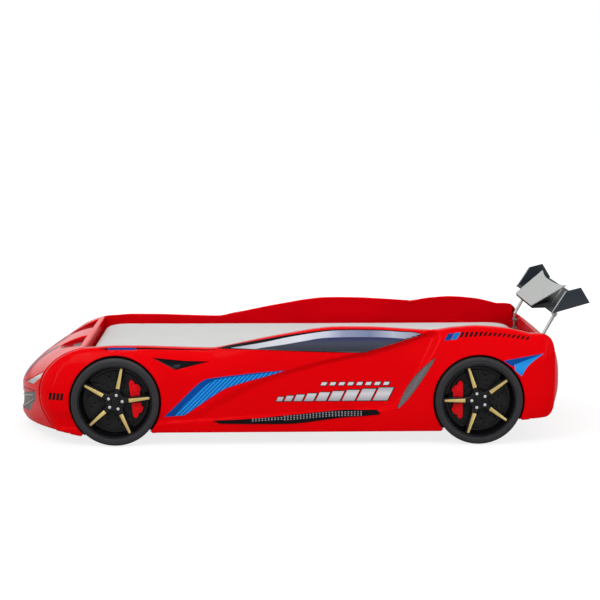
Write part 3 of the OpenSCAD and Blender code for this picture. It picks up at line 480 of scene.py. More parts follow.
def piece(name, shape, slot, replaces=None, finish=None, body="root"):
    """A mesh object of the bed, in its slot's finish unless another is named."""
    obj = bpy.data.objects.new(name, shape.mesh(name))
    bpy.context.scene.collection.objects.link(obj)
    obj.data.materials.append(FINISH[finish or slot])
    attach(obj, body)
    if replaces:
        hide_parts(replaces)


# Finishes
def make_node(tree, kind, feeds=None, **settings):
    """A shader node, with values for its inputs or settings and the sockets that feed it."""
    made = tree.nodes.new(kind)
    for key, value in settings.items():
        label = key.replace("_", " ")
        if label in made.inputs:
            made.inputs[label].default_value = value
        else:
            setattr(made, key, value)
    for socket, source in (feeds or {}).items():
        tree.links.new(source, made.inputs[socket])
    return made


class Finish:
    """A node material round one Principled shader, with helpers for its detail."""

    def __init__(self, name, colour, roughness=0.4, metallic=0.0, specular=0.5, **inputs):
        self.material = bpy.data.materials.new(name)
        self.material.use_nodes = True
        self.tree = self.material.node_tree
        self.shader = self.tree.nodes["Principled BSDF"]
        self.colour = colour
        inputs.update(base_color=(*colour, 1), roughness=roughness, metallic=metallic)
        for key, value in inputs.items():
            self.shader.inputs[key.replace("_", " ").title()].default_value = value
        self.shader.inputs["Specular IOR Level"].default_value = specular
        self.place = self.node("TexCoord").outputs["Object"]

    def node(self, kind, feeds=None, **settings):
        return make_node(self.tree, "ShaderNode" + kind, feeds, **settings)

    def feed(self, socket, source):
        self.tree.links.new(source, self.shader.inputs[socket])
        return self

    def texture(self, kind, mapping, **settings):
        vector = self.node("Mapping", {"Vector": self.place}, **mapping).outputs["Vector"]
        return self.node(kind, {"Vector": vector}, **settings).outputs["Fac"]

    def noise(self, scale, detail=2.0, stretch=(1, 1, 1)):
        return self.texture("TexNoise", {"Scale": stretch}, Scale=scale, Detail=detail)

    def waves(self, scale, direction="X", turn=(0, 0, 0), distortion=0.0):
        return self.texture("TexWave", {"Rotation": [math.radians(a) for a in turn]}, Scale=scale,
                            Distortion=distortion, bands_direction=direction)

    def product(self, a, b):
        return self.node("Math", {0: a, 1: b}, operation="MULTIPLY").outputs["Value"]

    def span(self, value, **ends):
        return self.node("MapRange", {"Value": value}, **ends).outputs["Result"]

    def paint(self, factor, stops):
        """Base colours along a factor, as pairs of place and colour."""
        made = self.node("ValToRGB", {"Fac": factor})
        elements = made.color_ramp.elements
        while len(elements) < len(stops):
            elements.new(0.5)
        for element, (at, colour) in zip(elements, stops):
            element.position = at
            element.color = (*colour, 1)
        return self.feed("Base Color", made.outputs["Color"])

    def mottle(self, scale, amount, stretch=(1, 1, 1)):
        """Slight light and dark of the base colour."""
        dark = [c * (1 - amount) for c in self.colour]
        light = [min(1, c * (1 + amount)) for c in self.colour]
        return self.paint(self.noise(scale, 3, stretch), [(0.35, dark), (0.65, light)])

    def worn(self, scale, low, high, stretch=(1, 1, 1)):
        """Roughness that varies between two values."""
        return self.feed("Roughness", self.span(self.noise(scale, 4, stretch), From_Min=0.35,
                                                From_Max=0.65, To_Min=low, To_Max=high))

    def bumped(self, height, strength, distance):
        """The material, with its fine relief."""
        made = self.node("Bump", {"Height": height}, Strength=strength, Distance=distance)
        return self.feed("Normal", made.outputs["Normal"]).material


def make_coat(name, colour, specular, mottle, worn, grain, strength, distance, metallic=0.0):
    """A plain surface, from the arguments of its mottle, its roughness and its relief's noise."""
    f = Finish(name, colour, specular=specular, metallic=metallic).mottle(*mottle).worn(*worn)
    return f.bumped(f.noise(*grain), strength, distance)


def make_plain(name, colour, low, high, bump, specular, scale=120):
    return make_coat(name, colour, specular, (scale / 8, 0.06), (scale / 6, low, high),
                     (scale, 3), bump, 0.0004)


def make_brushed(name, colour, low, high, stretch, metallic, specular=0.5):
    return make_coat(name, colour, specular, (9, 0.04, stretch), (9, low, high, stretch),
                     (20, 2, stretch), 0.02, 0.0002, metallic)


def make_wood(name):
    f = Finish(name, (0.62, 0.43, 0.24), specular=0.35).worn(20, 0.5, 0.65)
    f.paint(f.waves(2.2, "Z", distortion=5),
            [(0.0, (0.50, 0.32, 0.16)), (0.6, (0.66, 0.46, 0.26)), (1.0, (0.74, 0.55, 0.34))])
    return f.bumped(f.noise(40, 4, (0.1, 1, 1)), 0.15, 0.0006)


def make_cloth(name):
    f = Finish(name, (0.57, 0.57, 0.565), specular=0.15, sheen_weight=0.15, sheen_roughness=0.4)
    f.mottle(4, 0.02).worn(12, 0.8, 0.92)
    return f.bumped(f.product(f.waves(520, "X"), f.waves(520, "Y")), 0.25, 0.0004)


def make_lens(name):
    f = Finish(name, (0.5, 0.52, 0.5), roughness=0.12, coat_weight=0.8, coat_roughness=0.04)
    ribs = f.waves(34, "Y", turn=(0, 0, 18))
    f.paint(ribs, [(0.0, (0.30, 0.31, 0.30)), (0.55, (0.52, 0.55, 0.52)),
                   (1.0, (0.72, 0.74, 0.72))])
    return f.bumped(ribs, 0.3, 0.0012)


def make_mesh(name, scale, low, high):
    """Dark woven mesh, with painted shade in the gaps of its weave and painted highlights on its
    small facets.
    """
    f = Finish(name, low, metallic=0.2, specular=0.45)
    weave = f.product(f.waves(scale, "X", (0, 45, 0)), f.waves(scale, "Z", (0, 45, 0)))
    return f.paint(weave, [(0.12, low), (0.45, high)]).worn(30, 0.3, 0.45).bumped(weave, 0.6, 0.001)


def make_hatched(name, base, line, scale, turn):
    f = Finish(name, base, specular=0.08)
    f.paint(f.waves(scale, "X", turn), [(0.45, base), (0.62, line), (0.95, line)])
    return f.worn(12, 0.14, 0.2).material


def make_film(name, stops, axis, low, high, specular, metallic=0.0, rough=(0.16, 0.26)):
    """A printed film whose colour runs from one place to another."""
    f = Finish(name, stops[0][1], specular=specular, metallic=metallic)
    split = f.node("SeparateXYZ", {"Vector": f.place})
    f.paint(f.span(split.outputs[axis], From_Min=low, From_Max=high), stops)
    return f.worn(20, *rough).material


# Colour, specular level, mottle, roughness, noise of the relief, its strength and depth
COATS = {
    "body_red": ((0.74, 0.0, 0.002), 0.03, (1.7, 0.03), (6, 0.09, 0.14), (55, 1), 0.03, 0.0003),
    "board_red": ((0.58, 0.0, 0.004), 0.015, (3, 0.06, (1, 1, 3)), (9, 0.22, 0.34),
                  (60, 1, (0.2, 1, 1)), 0.01, 0.0003),
    "tyre_black": ((0.024, 0.024, 0.027), 0.2, (14, 0.1), (18, 0.42, 0.56), (240, 3), 0.12,
                   0.0004),
}
# Colour, lowest and highest roughness, bump, specular level and scale of the detail
PLAIN = {
    # Dark red painted as shade, for the scoop hollows and the lines along the nose's creases
    "scoop_red": ((0.33, 0.0, 0.003), 0.2, 0.3, 0.02, 0.03),
    "trim_black": ((0.006, 0.006, 0.007), 0.14, 0.24, 0.02, 0.035),
    "foot_black": ((0.02, 0.02, 0.02), 0.5, 0.6, 0.1, 0.5),
    "wing_black": ((0.020, 0.024, 0.027), 0.20, 0.30, 0.0, 0.005),
    "plate_dark": ((0.022, 0.029, 0.038), 0.14, 0.24, 0.02, 0.3),
    "rim_black": ((0.005, 0.005, 0.006), 0.12, 0.2, 0.02, 0.22),
    "disc_dark": ((0.013, 0.013, 0.014), 0.35, 0.5, 0.05, 0.15, 200),
    "caliper_red": ((0.72, 0.0, 0.004), 0.16, 0.28, 0.03, 0.12),
    "film_slate": ((0.10, 0.13, 0.27), 0.16, 0.24, 0.02, 0.05),
    "film_blue": ((0.0, 0.06, 0.30), 0.14, 0.2, 0.02, 0.08),
}
# Colour, lowest and highest roughness, stretch of the grain, metallic and specular level
BRUSHED = {
    "silver_plastic": ((0.36, 0.375, 0.365), 0.36, 0.42, (3, 0.4, 3), 0.1, 0.25),
    "steel": ((0.33, 0.33, 0.33), 0.24, 0.34, (1, 1, 8), 0.8),
    "inlay_gold": ((0.62, 0.46, 0.16), 0.3, 0.42, (8, 8, 1), 0.35),
    "nut_silver": ((0.72, 0.72, 0.72), 0.16, 0.28, (1, 1, 1), 1.0),
}
# Colours along a film, the axis and the places in metres from which and to which they run,
# specular level, metallic and roughness
FILMS = {
    "silver_film": ([(0.0, (0.40, 0.40, 0.44)), (0.35, (0.72, 0.72, 0.76)),
                     (0.6, (0.48, 0.47, 0.52)), (1.0, (0.82, 0.82, 0.86))], "Z", 0.186, 0.264,
                    0.5, 0.3),
    "film_light_blue": ([(0.0, (0.0, 0.17, 0.62)), (0.5, (0.02, 0.30, 0.80)),
                         (1.0, (0.0, 0.2, 0.62))], "Z", 0.268, 0.384, 0.08),
    "window_band": ([(0.05, (0.42, 0.44, 0.50)), (0.20, (0.60, 0.62, 0.67)),
                     (0.36, (0.66, 0.68, 0.74)), (0.50, (0.52, 0.55, 0.66)),
                     (0.58, (0.27, 0.30, 0.44)), (0.72, (0.18, 0.21, 0.34)),
                     (0.84, (0.42, 0.45, 0.55)), (1.0, (0.22, 0.24, 0.32))], "X", -0.282, 0.52,
                    0.06),
    "window_glass": ([(0.0, (0.035, 0.04, 0.045)), (0.6, (0.06, 0.065, 0.10)),
                      (1.0, (0.03, 0.035, 0.12))], "Z", 0.391, 0.451, 0.04, 0.0,
                     (0.12, 0.2)),
}
# Scale of the weave, colour of its gaps, painted as shade, and of its facets, painted as highlights
MESHES = {
    "mesh_black": (130, (0.02, 0.02, 0.022), (0.28, 0.28, 0.29)),
    "grille_dark": (90, (0.035, 0.028, 0.026), (0.16, 0.13, 0.12)),
}
HATCHED = {"film_hatched": ((0.0, 0.11, 0.42), (0.02, 0.30, 0.80), 27, (0, -45, 0))}
FINISH = {
    name: make(name, *values)
    for make, table in ((make_coat, COATS), (make_plain, PLAIN), (make_brushed, BRUSHED),
                        (make_film, FILMS), (make_mesh, MESHES), (make_hatched, HATCHED),
                        (make_lens, {"lens_silver": ()}), (make_wood, {"frame_wood": ()}),
                        (make_cloth, {"mattress_cloth": ()}))
    for name, values in table.items()
}
for part in frame["record"]["subparts"]:
    materials = nodes[part["node"]].data.materials
    materials.clear()
    materials.append(FINISH[part["material_slot"]])


# Side panels
panel_step = 7.0
rim_top, rim_end, rim_front, rim_low, rim_arch = 9.0, 6.0, 9.0, 5.0, 5.0
lip_depth, arch_depth = 13, 26
flange_from, flange_to, flange_fade = -894, 1034, 18
vent_low, vent_high, vent_wide = 152, 362, 42


def on_panel(lift):
    def surface(p):
        x, z = p.T
        return columns(x, -panel_y(x, z) - lift, z)
    return surface


def top_share(x, z):
    """1 where a side panel's border is its top flange, over the inner board."""
    return (smooth((x - flange_from) / flange_fade) * smooth((flange_to - x) / flange_fade)
            * (z > 300))


def border_radius(x, z):
    end = np.where(x < 0, rim_front, rim_end)
    radius = end + (rim_top - end) * top_share(x, z)
    return np.where((z < 136) & (np.abs(x) < 950), rim_low, radius)


def panel_loop():
    """The border of a side panel, drawn in by the radius that it turns over."""
    t = (1 - np.cos(np.linspace(0, np.pi, 1601))) / 2
    x = mix(panel_front_x, panel_rear_x, t)
    loop = resample(np.vstack([columns(x, panel_top(x)),
                               columns(x, panel_bottom(x))[::-1][1:-1]]), 6)
    loop = moved_in(loop, border_radius(*loop.T))
    for centre in (axle_x["rear"], axle_x["front"]):
        x, z = loop.T
        cut = np.flatnonzero(np.hypot(x - centre, z - axle_z) < arch_r + rim_arch + 3)
        a = math.atan2(z[cut[0] - 1] - axle_z, x[cut[0] - 1] - centre)
        b = math.atan2(z[cut[-1] + 1] - axle_z, x[cut[-1] + 1] - centre) + 2 * math.pi
        turn = np.linspace(a, b, 190)
        arc = columns(centre + (arch_r + rim_arch) * np.cos(turn),
                      axle_z + (arch_r + rim_arch) * np.sin(turn))
        loop = np.vstack([loop[:cut[0]], arc, loop[cut[-1] + 1:]])
    return loop


def vent_loop(inset):
    low, high = vent_low + 3 * inset, vent_high - 3 * inset
    z = np.linspace(low, high, 60)
    right = columns(intake_x(z) + 4 + 0.05 * (z - vent_low) - inset, z)
    wide = vent_wide * np.sin(np.pi * (z - low) / (high - low)) ** 0.7 - 2 * inset
    left = right - columns(np.maximum(0, wide), 0 * z)
    return resample(np.vstack([right, left[::-1][1:-1]]), 5)


fender_vent = [(-603, 367), (-509, 317.5), (-370, 351), (-475, 354)]


def fender_loop(inset):
    return moved_in(outline(5, *([corner] for corner in fender_vent)), inset)


def near_arch(x, z):
    return np.minimum(*[np.abs(np.hypot(x - a, z - axle_z) - arch_r - rim_arch)
                        for a in axle_x.values()]) < 2


def side_panel():
    shape, rows = skin(on_panel(0), [panel_loop(), vent_loop(-2.5), fender_loop(-2)], panel_step,
                       (0, -1, 0))
    x, _, z = shape.points[rows[0]].T
    top = top_share(x, z)
    arch = near_arch(x, z)
    radius = np.where(arch, rim_arch, border_radius(x, z))

    def depth(points, out, r):
        flange = -flange_edge - points[:, 1] - r * out[:, 1]
        return mix(np.where(arch, arch_depth, lip_depth), flange, top)

    rim(shape, rows[0], radius, depth, (0, 1, 0), back=2 + 6 * top)
    rim(shape, rows[1], 2.5, 10, (0, 1, 0), hole=True, fillet=3)
    rim(shape, rows[2], 2, 9, (0, 1, 0), hole=True, fillet=3)
    return shape


left = side_panel()
piece("left_side_skin", left, "body_red", "left_side_panel")
piece("right_side_skin", left.mirrored(), "body_red", "right_side_panel")


def sheet(name, loop, lift, slot, replaces=None, finish=None, step=6.0, edge=0.0, thick=1.0):
    """A thin sheet on both side panels, with a turned border where edge is set."""
    shape, rows = skin(on_panel(lift), [loop], step, (0, -1, 0))
    if edge:
        rim(shape, rows[0], edge, thick, (0, 1, 0), fillet=3)
    piece(name, shape.both(), slot, replaces, finish)


sheet("crescent_vents", vent_loop(-1), -6, "mesh_black", "side_vents", step=5)


# Nose
nose_wide, hood_long, bumper_long = 500.0, 390.0, 132.0
side_u = 0.972 * nose_wide


def on_nose(point, long, depth=0):
    """The surface of the nose or the hood over its own flat uv, sunk by a depth."""
    def surface(p):
        v = p[:, 1] / long
        return point(p[:, 0] / nose_wide, v) + depth * inward(v)
    return surface


def nose_uv(outline_yz, v):
    """The s and v of points seen from the front, found step by step from a first guess of v."""
    target = np.asarray(outline_yz, float)
    s = target[:, 0] / nose_wide
    v = np.full(len(s), float(v))
    small = 1e-4
    for _ in range(25):
        here = nose_point(s, v)[:, 1:]
        ds = (nose_point(s + small, v)[:, 1:] - here) / small
        dv = (nose_point(s, v + small)[:, 1:] - here) / small
        miss = target - here
        det = ds[:, 0] * dv[:, 1] - ds[:, 1] * dv[:, 0]
        step_s = (miss[:, 0] * dv[:, 1] - miss[:, 1] * dv[:, 0]) / det
        step_v = (ds[:, 0] * miss[:, 1] - ds[:, 1] * miss[:, 0]) / det
        s = s + np.clip(step_s, -0.1, 0.1)
        v = v + np.clip(step_v, -0.1, 0.1)
    return s, v


def box_loop(u, v0, v1, step):
    return outline(step, [(-u, v0)], [(u, v0)], [(u, v1)], [(-u, v1)])


lens_outline = [(215, 224), (300, 251), (438, 300), (436, 274), (340, 230), (232, 215)]


def lens_loop(inset, side=1):
    """The headlight's border in the hood's own uv."""
    a, b, c, d, e, f = lens_outline
    loop = moved_in(outline(5, [a, b], [c], [d, e], [f]), inset)
    s, v = nose_uv(loop, 0.2)
    return columns(side * s * nose_wide, v * hood_long)


grille_side = [(0, 146), (120, 158), (240, 176), (350, 198), (396, 205), (404, 191), (376, 166),
               (304, 131), (218, 90), (110, 80), (0, 78)]


def grille_loop(inset):
    half = np.array(grille_side, float)
    other = half * (-1, 1)
    loop = outline(6, [*other[4:0:-1], *half[:4]], half[4:5], half[5:6],
                   [*half[6:], *other[9:6:-1]], other[6:7], other[5:6])
    s, v = nose_uv(moved_in(loop, inset), -0.4)
    return columns(s * nose_wide, v * bumper_long)


def roll_nose_edge(shape, row, edge, long, far_turn, line_radius):
    """Rolls the border of the hood or bumper in, at its sides along the seam with the fenders."""
    v = edge[:, 1] / long
    at_side, far = np.abs(edge[:, 0]) > side_u - 1, np.abs(v) > 0.5
    turn = np.where(at_side, seam_angle(v), np.where(far, far_turn, 0))
    into = columns(np.cos(turn), 0 * turn, -np.sin(turn))
    rim(shape, row, np.where(at_side, 4, np.where(far, 5, line_radius)), 14, into)


hood_out, lens_into = (-0.6, 0, 0.8), (0.9, 0, -0.44)
hood_edge = box_loop(side_u, 3, hood_long - 5, 5)
hood, rows = skin(on_nose(hood_point, hood_long),
                  [hood_edge, lens_loop(-2.5), lens_loop(-2.5, -1)], 5, hood_out, 1.0,
                  (-nose_wide, 0.1), (nose_wide, hood_long))
roll_nose_edge(hood, rows[0], hood_edge, hood_long, math.pi / 2, 2.5)
for row in rows[1:]:
    rim(hood, row, 2.5, 10, lens_into, hole=True, fillet=3)
# The scoops' floors and walls are the hood's own red, painted darker as shade
hollow = in_scoop(np.array([hood.points[list(f)].mean(0) for f in hood.faces]))
piece("hood_skin", hood.part(~hollow), "body_red", "hood")
piece("scoop_hollows", hood.part(hollow), "body_red", finish="scoop_red")

bumper_edge = box_loop(side_u, -bumper_long + 5, -2.5, 5)
bumper, rows = skin(on_nose(nose_point, bumper_long), [bumper_edge, grille_loop(-2)], 5,
                    (-1, 0, 0), 1.0, (-nose_wide, -bumper_long), (nose_wide, -0.1))
roll_nose_edge(bumper, rows[0], bumper_edge, bumper_long, 0, 2)
rim(bumper, rows[1], 2, 10, (1, 0, 0), hole=True)
piece("bumper_skin", bumper, "body_red", "front_bumper")


def seam_backing():
    """The tucked flange of hood and bumper, which closes the seam beside the fender from behind."""
    v = np.linspace(-0.98, 0.97, 70)
    a = seam_angle(v)
    sx, sz = seam_xz(v)
    tuck = 13
    near = nose_point(np.full(len(v), 0.93), v) + 9 * inward(v)
    back = columns(sx + tuck * np.cos(a), panel_y(sx, sz) - seam_step - 3, sz - tuck * np.sin(a))
    normals = unit(columns(-np.cos(a), 0 * a + 0.6, np.sin(a)))
    shape = Shape()
    return shape.strips([shape.add(near, normals), shape.add(back, normals)])


piece("seam_backings", seam_backing().both(), "body_red")

lens, lens_bed = Shape(), Shape()
for side in (1, -1):
    one, rows = skin(on_nose(nose_point, hood_long, 2), [lens_loop(2, side)], 4, hood_out, 1.0)
    rim(one, rows[0], 1.5, 5, lens_into, fillet=3)
    lens.joined(one)
    lens_bed.joined(skin(on_nose(nose_point, hood_long, 8), [lens_loop(-5, side)], 8, hood_out,
                         1.0)[0])
piece("headlight_lenses", lens, "lens_silver", "headlights")
piece("headlight_beds", lens_bed, "trim_black")
screen, _ = skin(on_nose(nose_point, bumper_long, 4), [grille_loop(-4)], 8, (-1, 0, 0), 1.0)
piece("grille_screen", screen, "mesh_black", "grille_mesh", "grille_dark")


def blade(side, low, high, reach=0.80):
    """A slim tapered bar across one half of the grille, with a raised middle line."""
    shape = Shape()
    normals = unit(np.array([(-0.3, 0, 1), (-1, 0, 0.0), (-0.3, 0, -1), (1, 0, 0)], float))
    rows = []
    for k in np.linspace(0, 1, 25):
        half = 3.6 * (0.45 + 0.55 * math.sin(math.pi * (0.12 + 0.76 * k)))
        s, v = side * mix(0.05, reach, k), mix(low, high, k)
        centre = nose_point(np.array([s]), np.array([v]))[0] + (2, 0, 0)
        ring = np.array([(0, 0, half), (-2.5, 0, 0), (0, 0, -half), (4, 0, 0)]) + centre
        rows.append(shape.add(ring, normals))
    shape.face(rows[0])
    shape.strips(rows, closed=True).face(rows[-1])
    return shape


def nose_ribbon(line, half, lift=0.8):
    """A strip on the hood or bumper along a line of s and v."""
    sv = curve(np.array(line, float) * (nose_wide, hood_long), 12) / (nose_wide, hood_long)
    points = hood_point(sv[:, 0], sv[:, 1])
    small = 1e-3
    ds = hood_point(sv[:, 0] + small, sv[:, 1]) - points
    dv = hood_point(sv[:, 0], sv[:, 1] + small) - points
    normals = unit(np.cross(ds, dv))
    normals *= np.sign(-normals[:, :1] + 0.5 * normals[:, 2:])
    ahead = unit(np.gradient(points, axis=0))
    across = unit(np.cross(ahead, normals))
    shape = Shape()
    return shape.strips([shape.add(points + lift * normals + k * half * across, normals)
                         for k in (-1, 0, 1)])


stripe = nose_ribbon([(-0.205, 0.16), (-0.22, 0.39), (-0.25, 0.53), (-0.27, 0.62)], 19)
piece("hood_stripes", stripe.both(), "plate_dark", finish="film_slate")
# Thin dark red ribbons along the nose's creases: painted shade in them
crease_shades = nose_ribbon([(-0.3, -0.09), (-0.5, -0.045), (-0.7, -0.02), (-0.86, -0.012)], 3.2, 1.0)
crease_shades.joined(nose_ribbon([(-0.34, 0.09), (-0.52, 0.15), (-0.61, 0.10), (-0.72, 0.10)], 1.8, 1.0))
piece("nose_crease_shade_lines", crease_shades.both(), "body_red", finish="scoop_red")

blades = Shape()
for side in (1, -1):
    blades.joined(blade(side, -0.39, -0.12)).joined(blade(side, -0.78, -0.22))
piece("grille_bars", blades, "silver_plastic", "grille_blades")


# Tail
def on_tail(p):
    return tail_point(p[:, 0] / nose_wide, p[:, 1])


tail_edge = box_loop(side_u, tail_low + 5, tail_height - 10, 6)
tail, rows = skin(on_tail, [tail_edge], 7, (1, 0, 0), 0.5, (-nose_wide, tail_low),
                  (nose_wide, tail_height))
at_top = tail_edge[:, 1] > tail_height - 11
tail_radius = np.where(at_top, 10, np.where(np.abs(tail_edge[:, 0]) > side_u - 1, 4, 5))


def tail_depth(points, out, r):
    return np.where(at_top, points[:, 0] + r * out[:, 0] - well_rear_x - 0.3, 14)


rim(tail, rows[0], tail_radius, tail_depth, (-1, 0, 0), back=np.where(at_top, 6.0, 1.0))
piece("tail_skin", tail, "body_red", "tail_panel")


# Scoop screens
def scoop_screen(side):
    ring = np.array([(-26, -48), (22, -62), (22, 70), (-26, 60)], float)
    uv, faces, _ = fill([resample(ring, 6)], 6)
    x = well_front_x - 46 + uv[:, 0]
    points = columns(x, side * (scoop_tip + 72 + uv[:, 1]), scoop_floor(x) + 2.5)
    return Shape(points, (0, 0, 1), faces)


piece("scoop_screens", scoop_screen(1).joined(scoop_screen(-1)), "mesh_black", "scoop_meshes",
      "grille_dark")


# Fender vents, sill strips and printed films
sheet("fender_louvres", fender_loop(-1), -6, "trim_black", "fender_vents")

strip_top = [(-355, 104.2), (-202, 111.9), (-36, 127.1), (171, 145.2), (250, 146.5)]
strip_low = [(262, 122.5), (171, 116.3), (60, 101.5), (-36, 91.7), (-180, 91.5), (-326, 93.4)]
strip_loop = outline(8, strip_top[:-1], strip_top[-1:], strip_low[:-1], strip_low[-1:])
strip_end = outline(8, [(244, 146.4)], [(324, 147.8), (336, 132.5)], [(328, 128.3)],
                    [(256, 122.2)])
sheet("sill_trims", strip_loop, 3.0, "trim_black", "sill_strips", step=5, edge=0.8, thick=4)
sheet("sill_trim_ends", strip_end, 2.9, "trim_black", step=5, edge=0.8, thick=4)


def marks(name, quads, lift, slot, finish=None):
    """Small four-cornered marks on both side panels, each a little lifted sheet."""
    shape = Shape()
    t = np.linspace(0, 1, 4)
    for quad in quads:
        a, b, c, d = np.array(quad, float)
        x, z = np.array([mix(mix(a, b, u), mix(d, c, u), v) for v in t for u in t]).T
        faces = [(4 * j + i, 4 * j + i + 1, 4 * j + i + 5, 4 * j + i + 4)
                 for j in range(3) for i in range(3)]
        shape.add(columns(x, -panel_y(x, z) - lift, z), (0, -1, 0), faces)
    piece(name, shape.both(), slot, finish=finish)


def strip_dots():
    quads = []
    for k in range(35):
        x = -194 + 13.2 * k
        middle = np.interp(x, [-194, -32, 129, 255], [107.6, 117.4, 131.5, 134.2])
        rows = 3 if k > 9 else 2
        for r in range(rows):
            z = middle + 7.2 * (r - (rows - 1) / 2)
            quads.append([(x, z - 1.8), (x + 5.5, z - 1.8), (x + 6.5, z + 1.8), (x + 1, z + 1.8)])
    return quads


marks("strip_marks", strip_dots(), 3.9, "silver_plastic", "silver_film")

# Window: a dark border, a pale band and dark glass below it
border_top = [(-338, 402), (-284, 415.8), (-193, 431.6), (-44, 457.5), (60, 471.6), (130, 479.2),
              (196, 480.7), (266, 480.4), (349, 477.9), (424, 472.7), (478, 468.8)]
band_top = [(-282, 404.8), (-146, 427.9), (-43, 449), (61, 466.1), (130, 474.5), (199, 476.7),
            (268, 476.5), (350, 474.4), (423, 469.2), (478, 466.1)]
glass_top = [(453, 441), (370, 447.2), (302, 449.2), (198, 449.6), (102, 446.6), (26, 434.9),
             (-64, 419.5), (-136, 409.3)]
border = outline(8, border_top, [(525, 455), (454, 436.5), (335, 404.5)],
                 [(270, 386), (129, 389), (-43, 394.5), (-180, 399)])
band = outline(8, band_top, [(520, 455), (454, 439.4), (335, 407.5)],
               [(270, 389), (215, 389.4), (129, 392.1), (-43, 397.4), (-180, 401.5)])
glass = outline(8, glass_top, [(-180, 402.5), (-43, 398), (129, 392.5)],
                [(271, 390), (335, 408.5)])
sheet("window_border", border, 1.3, "trim_black")
sheet("window_band", band, 2.1, "silver_plastic", finish="window_band")
sheet("window_glass", glass, 2.9, "plate_dark", finish="window_glass")

# Blue sweep behind the front wheel: a dark upper edge and a lighter face with fine slanted lines
sweep = outline(7, [(-557, 121.4)],
                [(-473, 127.3), (-383, 189), (-346, 214), (-300, 241), (-251, 257.5),
                 (-197, 273.9), (-119, 294.2)],
                [(-53, 315.5), (-119, 310.9), (-201, 303), (-255, 296.9), (-325, 288.9)],
                [(-382, 280.9), (-407, 266.5), (-436, 241.6), (-490, 187.4)])
sweep_face = outline(7, [(-516, 125.5)],
                     [(-474, 128.8), (-385, 190.5), (-348, 215.5), (-301, 242.5), (-252, 259),
                      (-198, 275.4), (-120, 295.7)],
                     [(-62, 313), (-119, 306.8), (-201, 297.6), (-259, 290.8), (-325, 280.7),
                      (-358, 270.4), (-395, 245.6), (-437, 208.1), (-478, 168.4)])
sheet("sweep_border", sweep, 0.5, "plate_dark", finish="film_blue", step=8)
sheet("sweep_face", sweep_face, 1.0, "plate_dark", finish="film_hatched", step=8)

# Rear triangle in two blues
tri_dark = outline(7, [(1014, 380.7)], [(847, 352), (883, 329)], [(891, 335)])
tri_light = outline(7, [(1014, 380.7)], [(891, 335)], [(894, 311.6)], [(922, 287), (953, 333.5)])
sheet("rear_flash_dark", tri_dark, 0.5, "plate_dark", finish="film_blue", step=8)
sheet("rear_flash_light", tri_light, 0.7, "plate_dark", finish="film_light_blue", step=8)


# Plain slanted bars in the places of the printed words
def slanted(x0, x1, z0, z1, lean=0.5):
    shift = lean * (z1 - z0)
    return [(x0, z0), (x1, z0), (x1 + shift, z1), (x0 + shift, z1)]


def door_bars(grow):
    quads = []
    x = -94.0
    for k in range(9):
        wide = 24 + 4.6 * k
        quads.append(slanted(x - grow, x + wide + grow, 184 - grow, mix(202, 238, k / 8) + grow))
        x += wide + 10
    for k in range(8):
        x = 90 + 37 * k
        quads.append(slanted(x - grow, x + 22 + grow, 249 - grow, 262 + grow))
    return quads


def rail_bars():
    """Slanted black bars in a row that narrows to the rear."""
    quads = []
    for k in range(15):
        x = 676 + 19.5 * k
        low = np.interp(x, [660, 709, 785, 854, 956], [446.3, 449.1, 452.7, 449.4, 434.1])
        high = np.interp(x, [675, 751, 834, 897, 960], [469.2, 470.7, 464.1, 456.7, 446.8])
        quads.append([(x - 10, low), (x, low), (x + 10, high - 1), (x, high - 1)])
    return quads


def rail_line(x0, x1, low, high, count=8):
    """A narrow strip under the rail's edge, between two depths, of which the lower one varies."""
    x = np.linspace(x0, x1, count + 1)
    foot = columns(x, rail_z(x) - np.linspace(*low, count + 1))
    head = columns(x, rail_z(x) - high)
    return [(a, b, c, d) for a, b, c, d in zip(foot, foot[1:], head[1:], head)]


marks("door_bar_borders", door_bars(3), 0.5, "trim_black")
marks("door_bars", door_bars(0), 1.0, "silver_plastic", "silver_film")
marks("rail_flash_blue", [[(602, 433.1), (627, 436.4), (644, 464.4), (618, 460.8)]], 0.6,
      "plate_dark", "film_blue")
marks("rail_flash_light", [[(629, 436.4), (654, 439.6), (671, 467.6), (646, 464.4)]], 0.6,
      "plate_dark", "film_light_blue")
marks("rail_flash_dark", rail_bars(), 0.6, "trim_black")
marks("fender_louvre_marks", [slanted(-1034 + 16.5 * k, -1023 + 16.5 * k, 194, 223, 0.15)
                              for k in range(4)], 0.6, "trim_black")
marks("fender_vent_trims", [[(-592, 357), (-586, 360), (-506, 324.5), (-509, 320.5)],
                            [(-520, 337), (-486, 341), (-494, 329), (-505, 327)]], -4.5,
      "plate_dark")
marks("rail_strip_blue", rail_line(-786, -672, (16, 16), 7), 0.6, "plate_dark", "film_blue")
marks("rail_strip_dark", rail_line(-818, -788, (9, 16), 7) + rail_line(-670, -345, (13, 9), 7),
      0.6, "trim_black")


# Arch liners, which close each arch round its wheel: a wall that rounds over to a flat back,
# as pairs of radius and distance from the middle plane. Their black stands in for the shade in the
# gap beside the tyre
LINER = [(189.7, 521.5), (189.7, 500.0), (189.7, 480.0), (187, 477.3), (182, 476.6),
         (166, 476.5), (150, 476.5)]


def arch_liner(centre, start, end):
    """The liner round one wheel, from one angle to another."""
    turn = np.radians(np.linspace(start, end, 150))
    c, s = np.cos(turn), np.sin(turn)
    shape = Shape()
    rows = []
    for r, y in LINER:
        normals = columns(-c, 0 * c, -s) if r == LINER[0][0] else (0, -1, 0)
        rows.append(shape.add(columns(centre + r * c, 0 * c - y, axle_z + r * s), normals))
    return shape.strips(rows)


# Black liners: painted shade in the gaps between arches and tyres
piece("arch_shade_liners", arch_liner(axle_x["front"], -42, 228)
      .joined(arch_liner(axle_x["rear"], -26, 222)).both(), "trim_black")


# Wing's silver centre panel, with its rear edge hollowed over the full width
panel_lean, plank_slope = math.radians(19.5), math.radians(16)
panel_front, panel_up = -77, 9.3
plank_x, plank_z = 1088.72, 548.33
front_half, rear_half, panel_chord, hollow = 212, 288, 167, 22


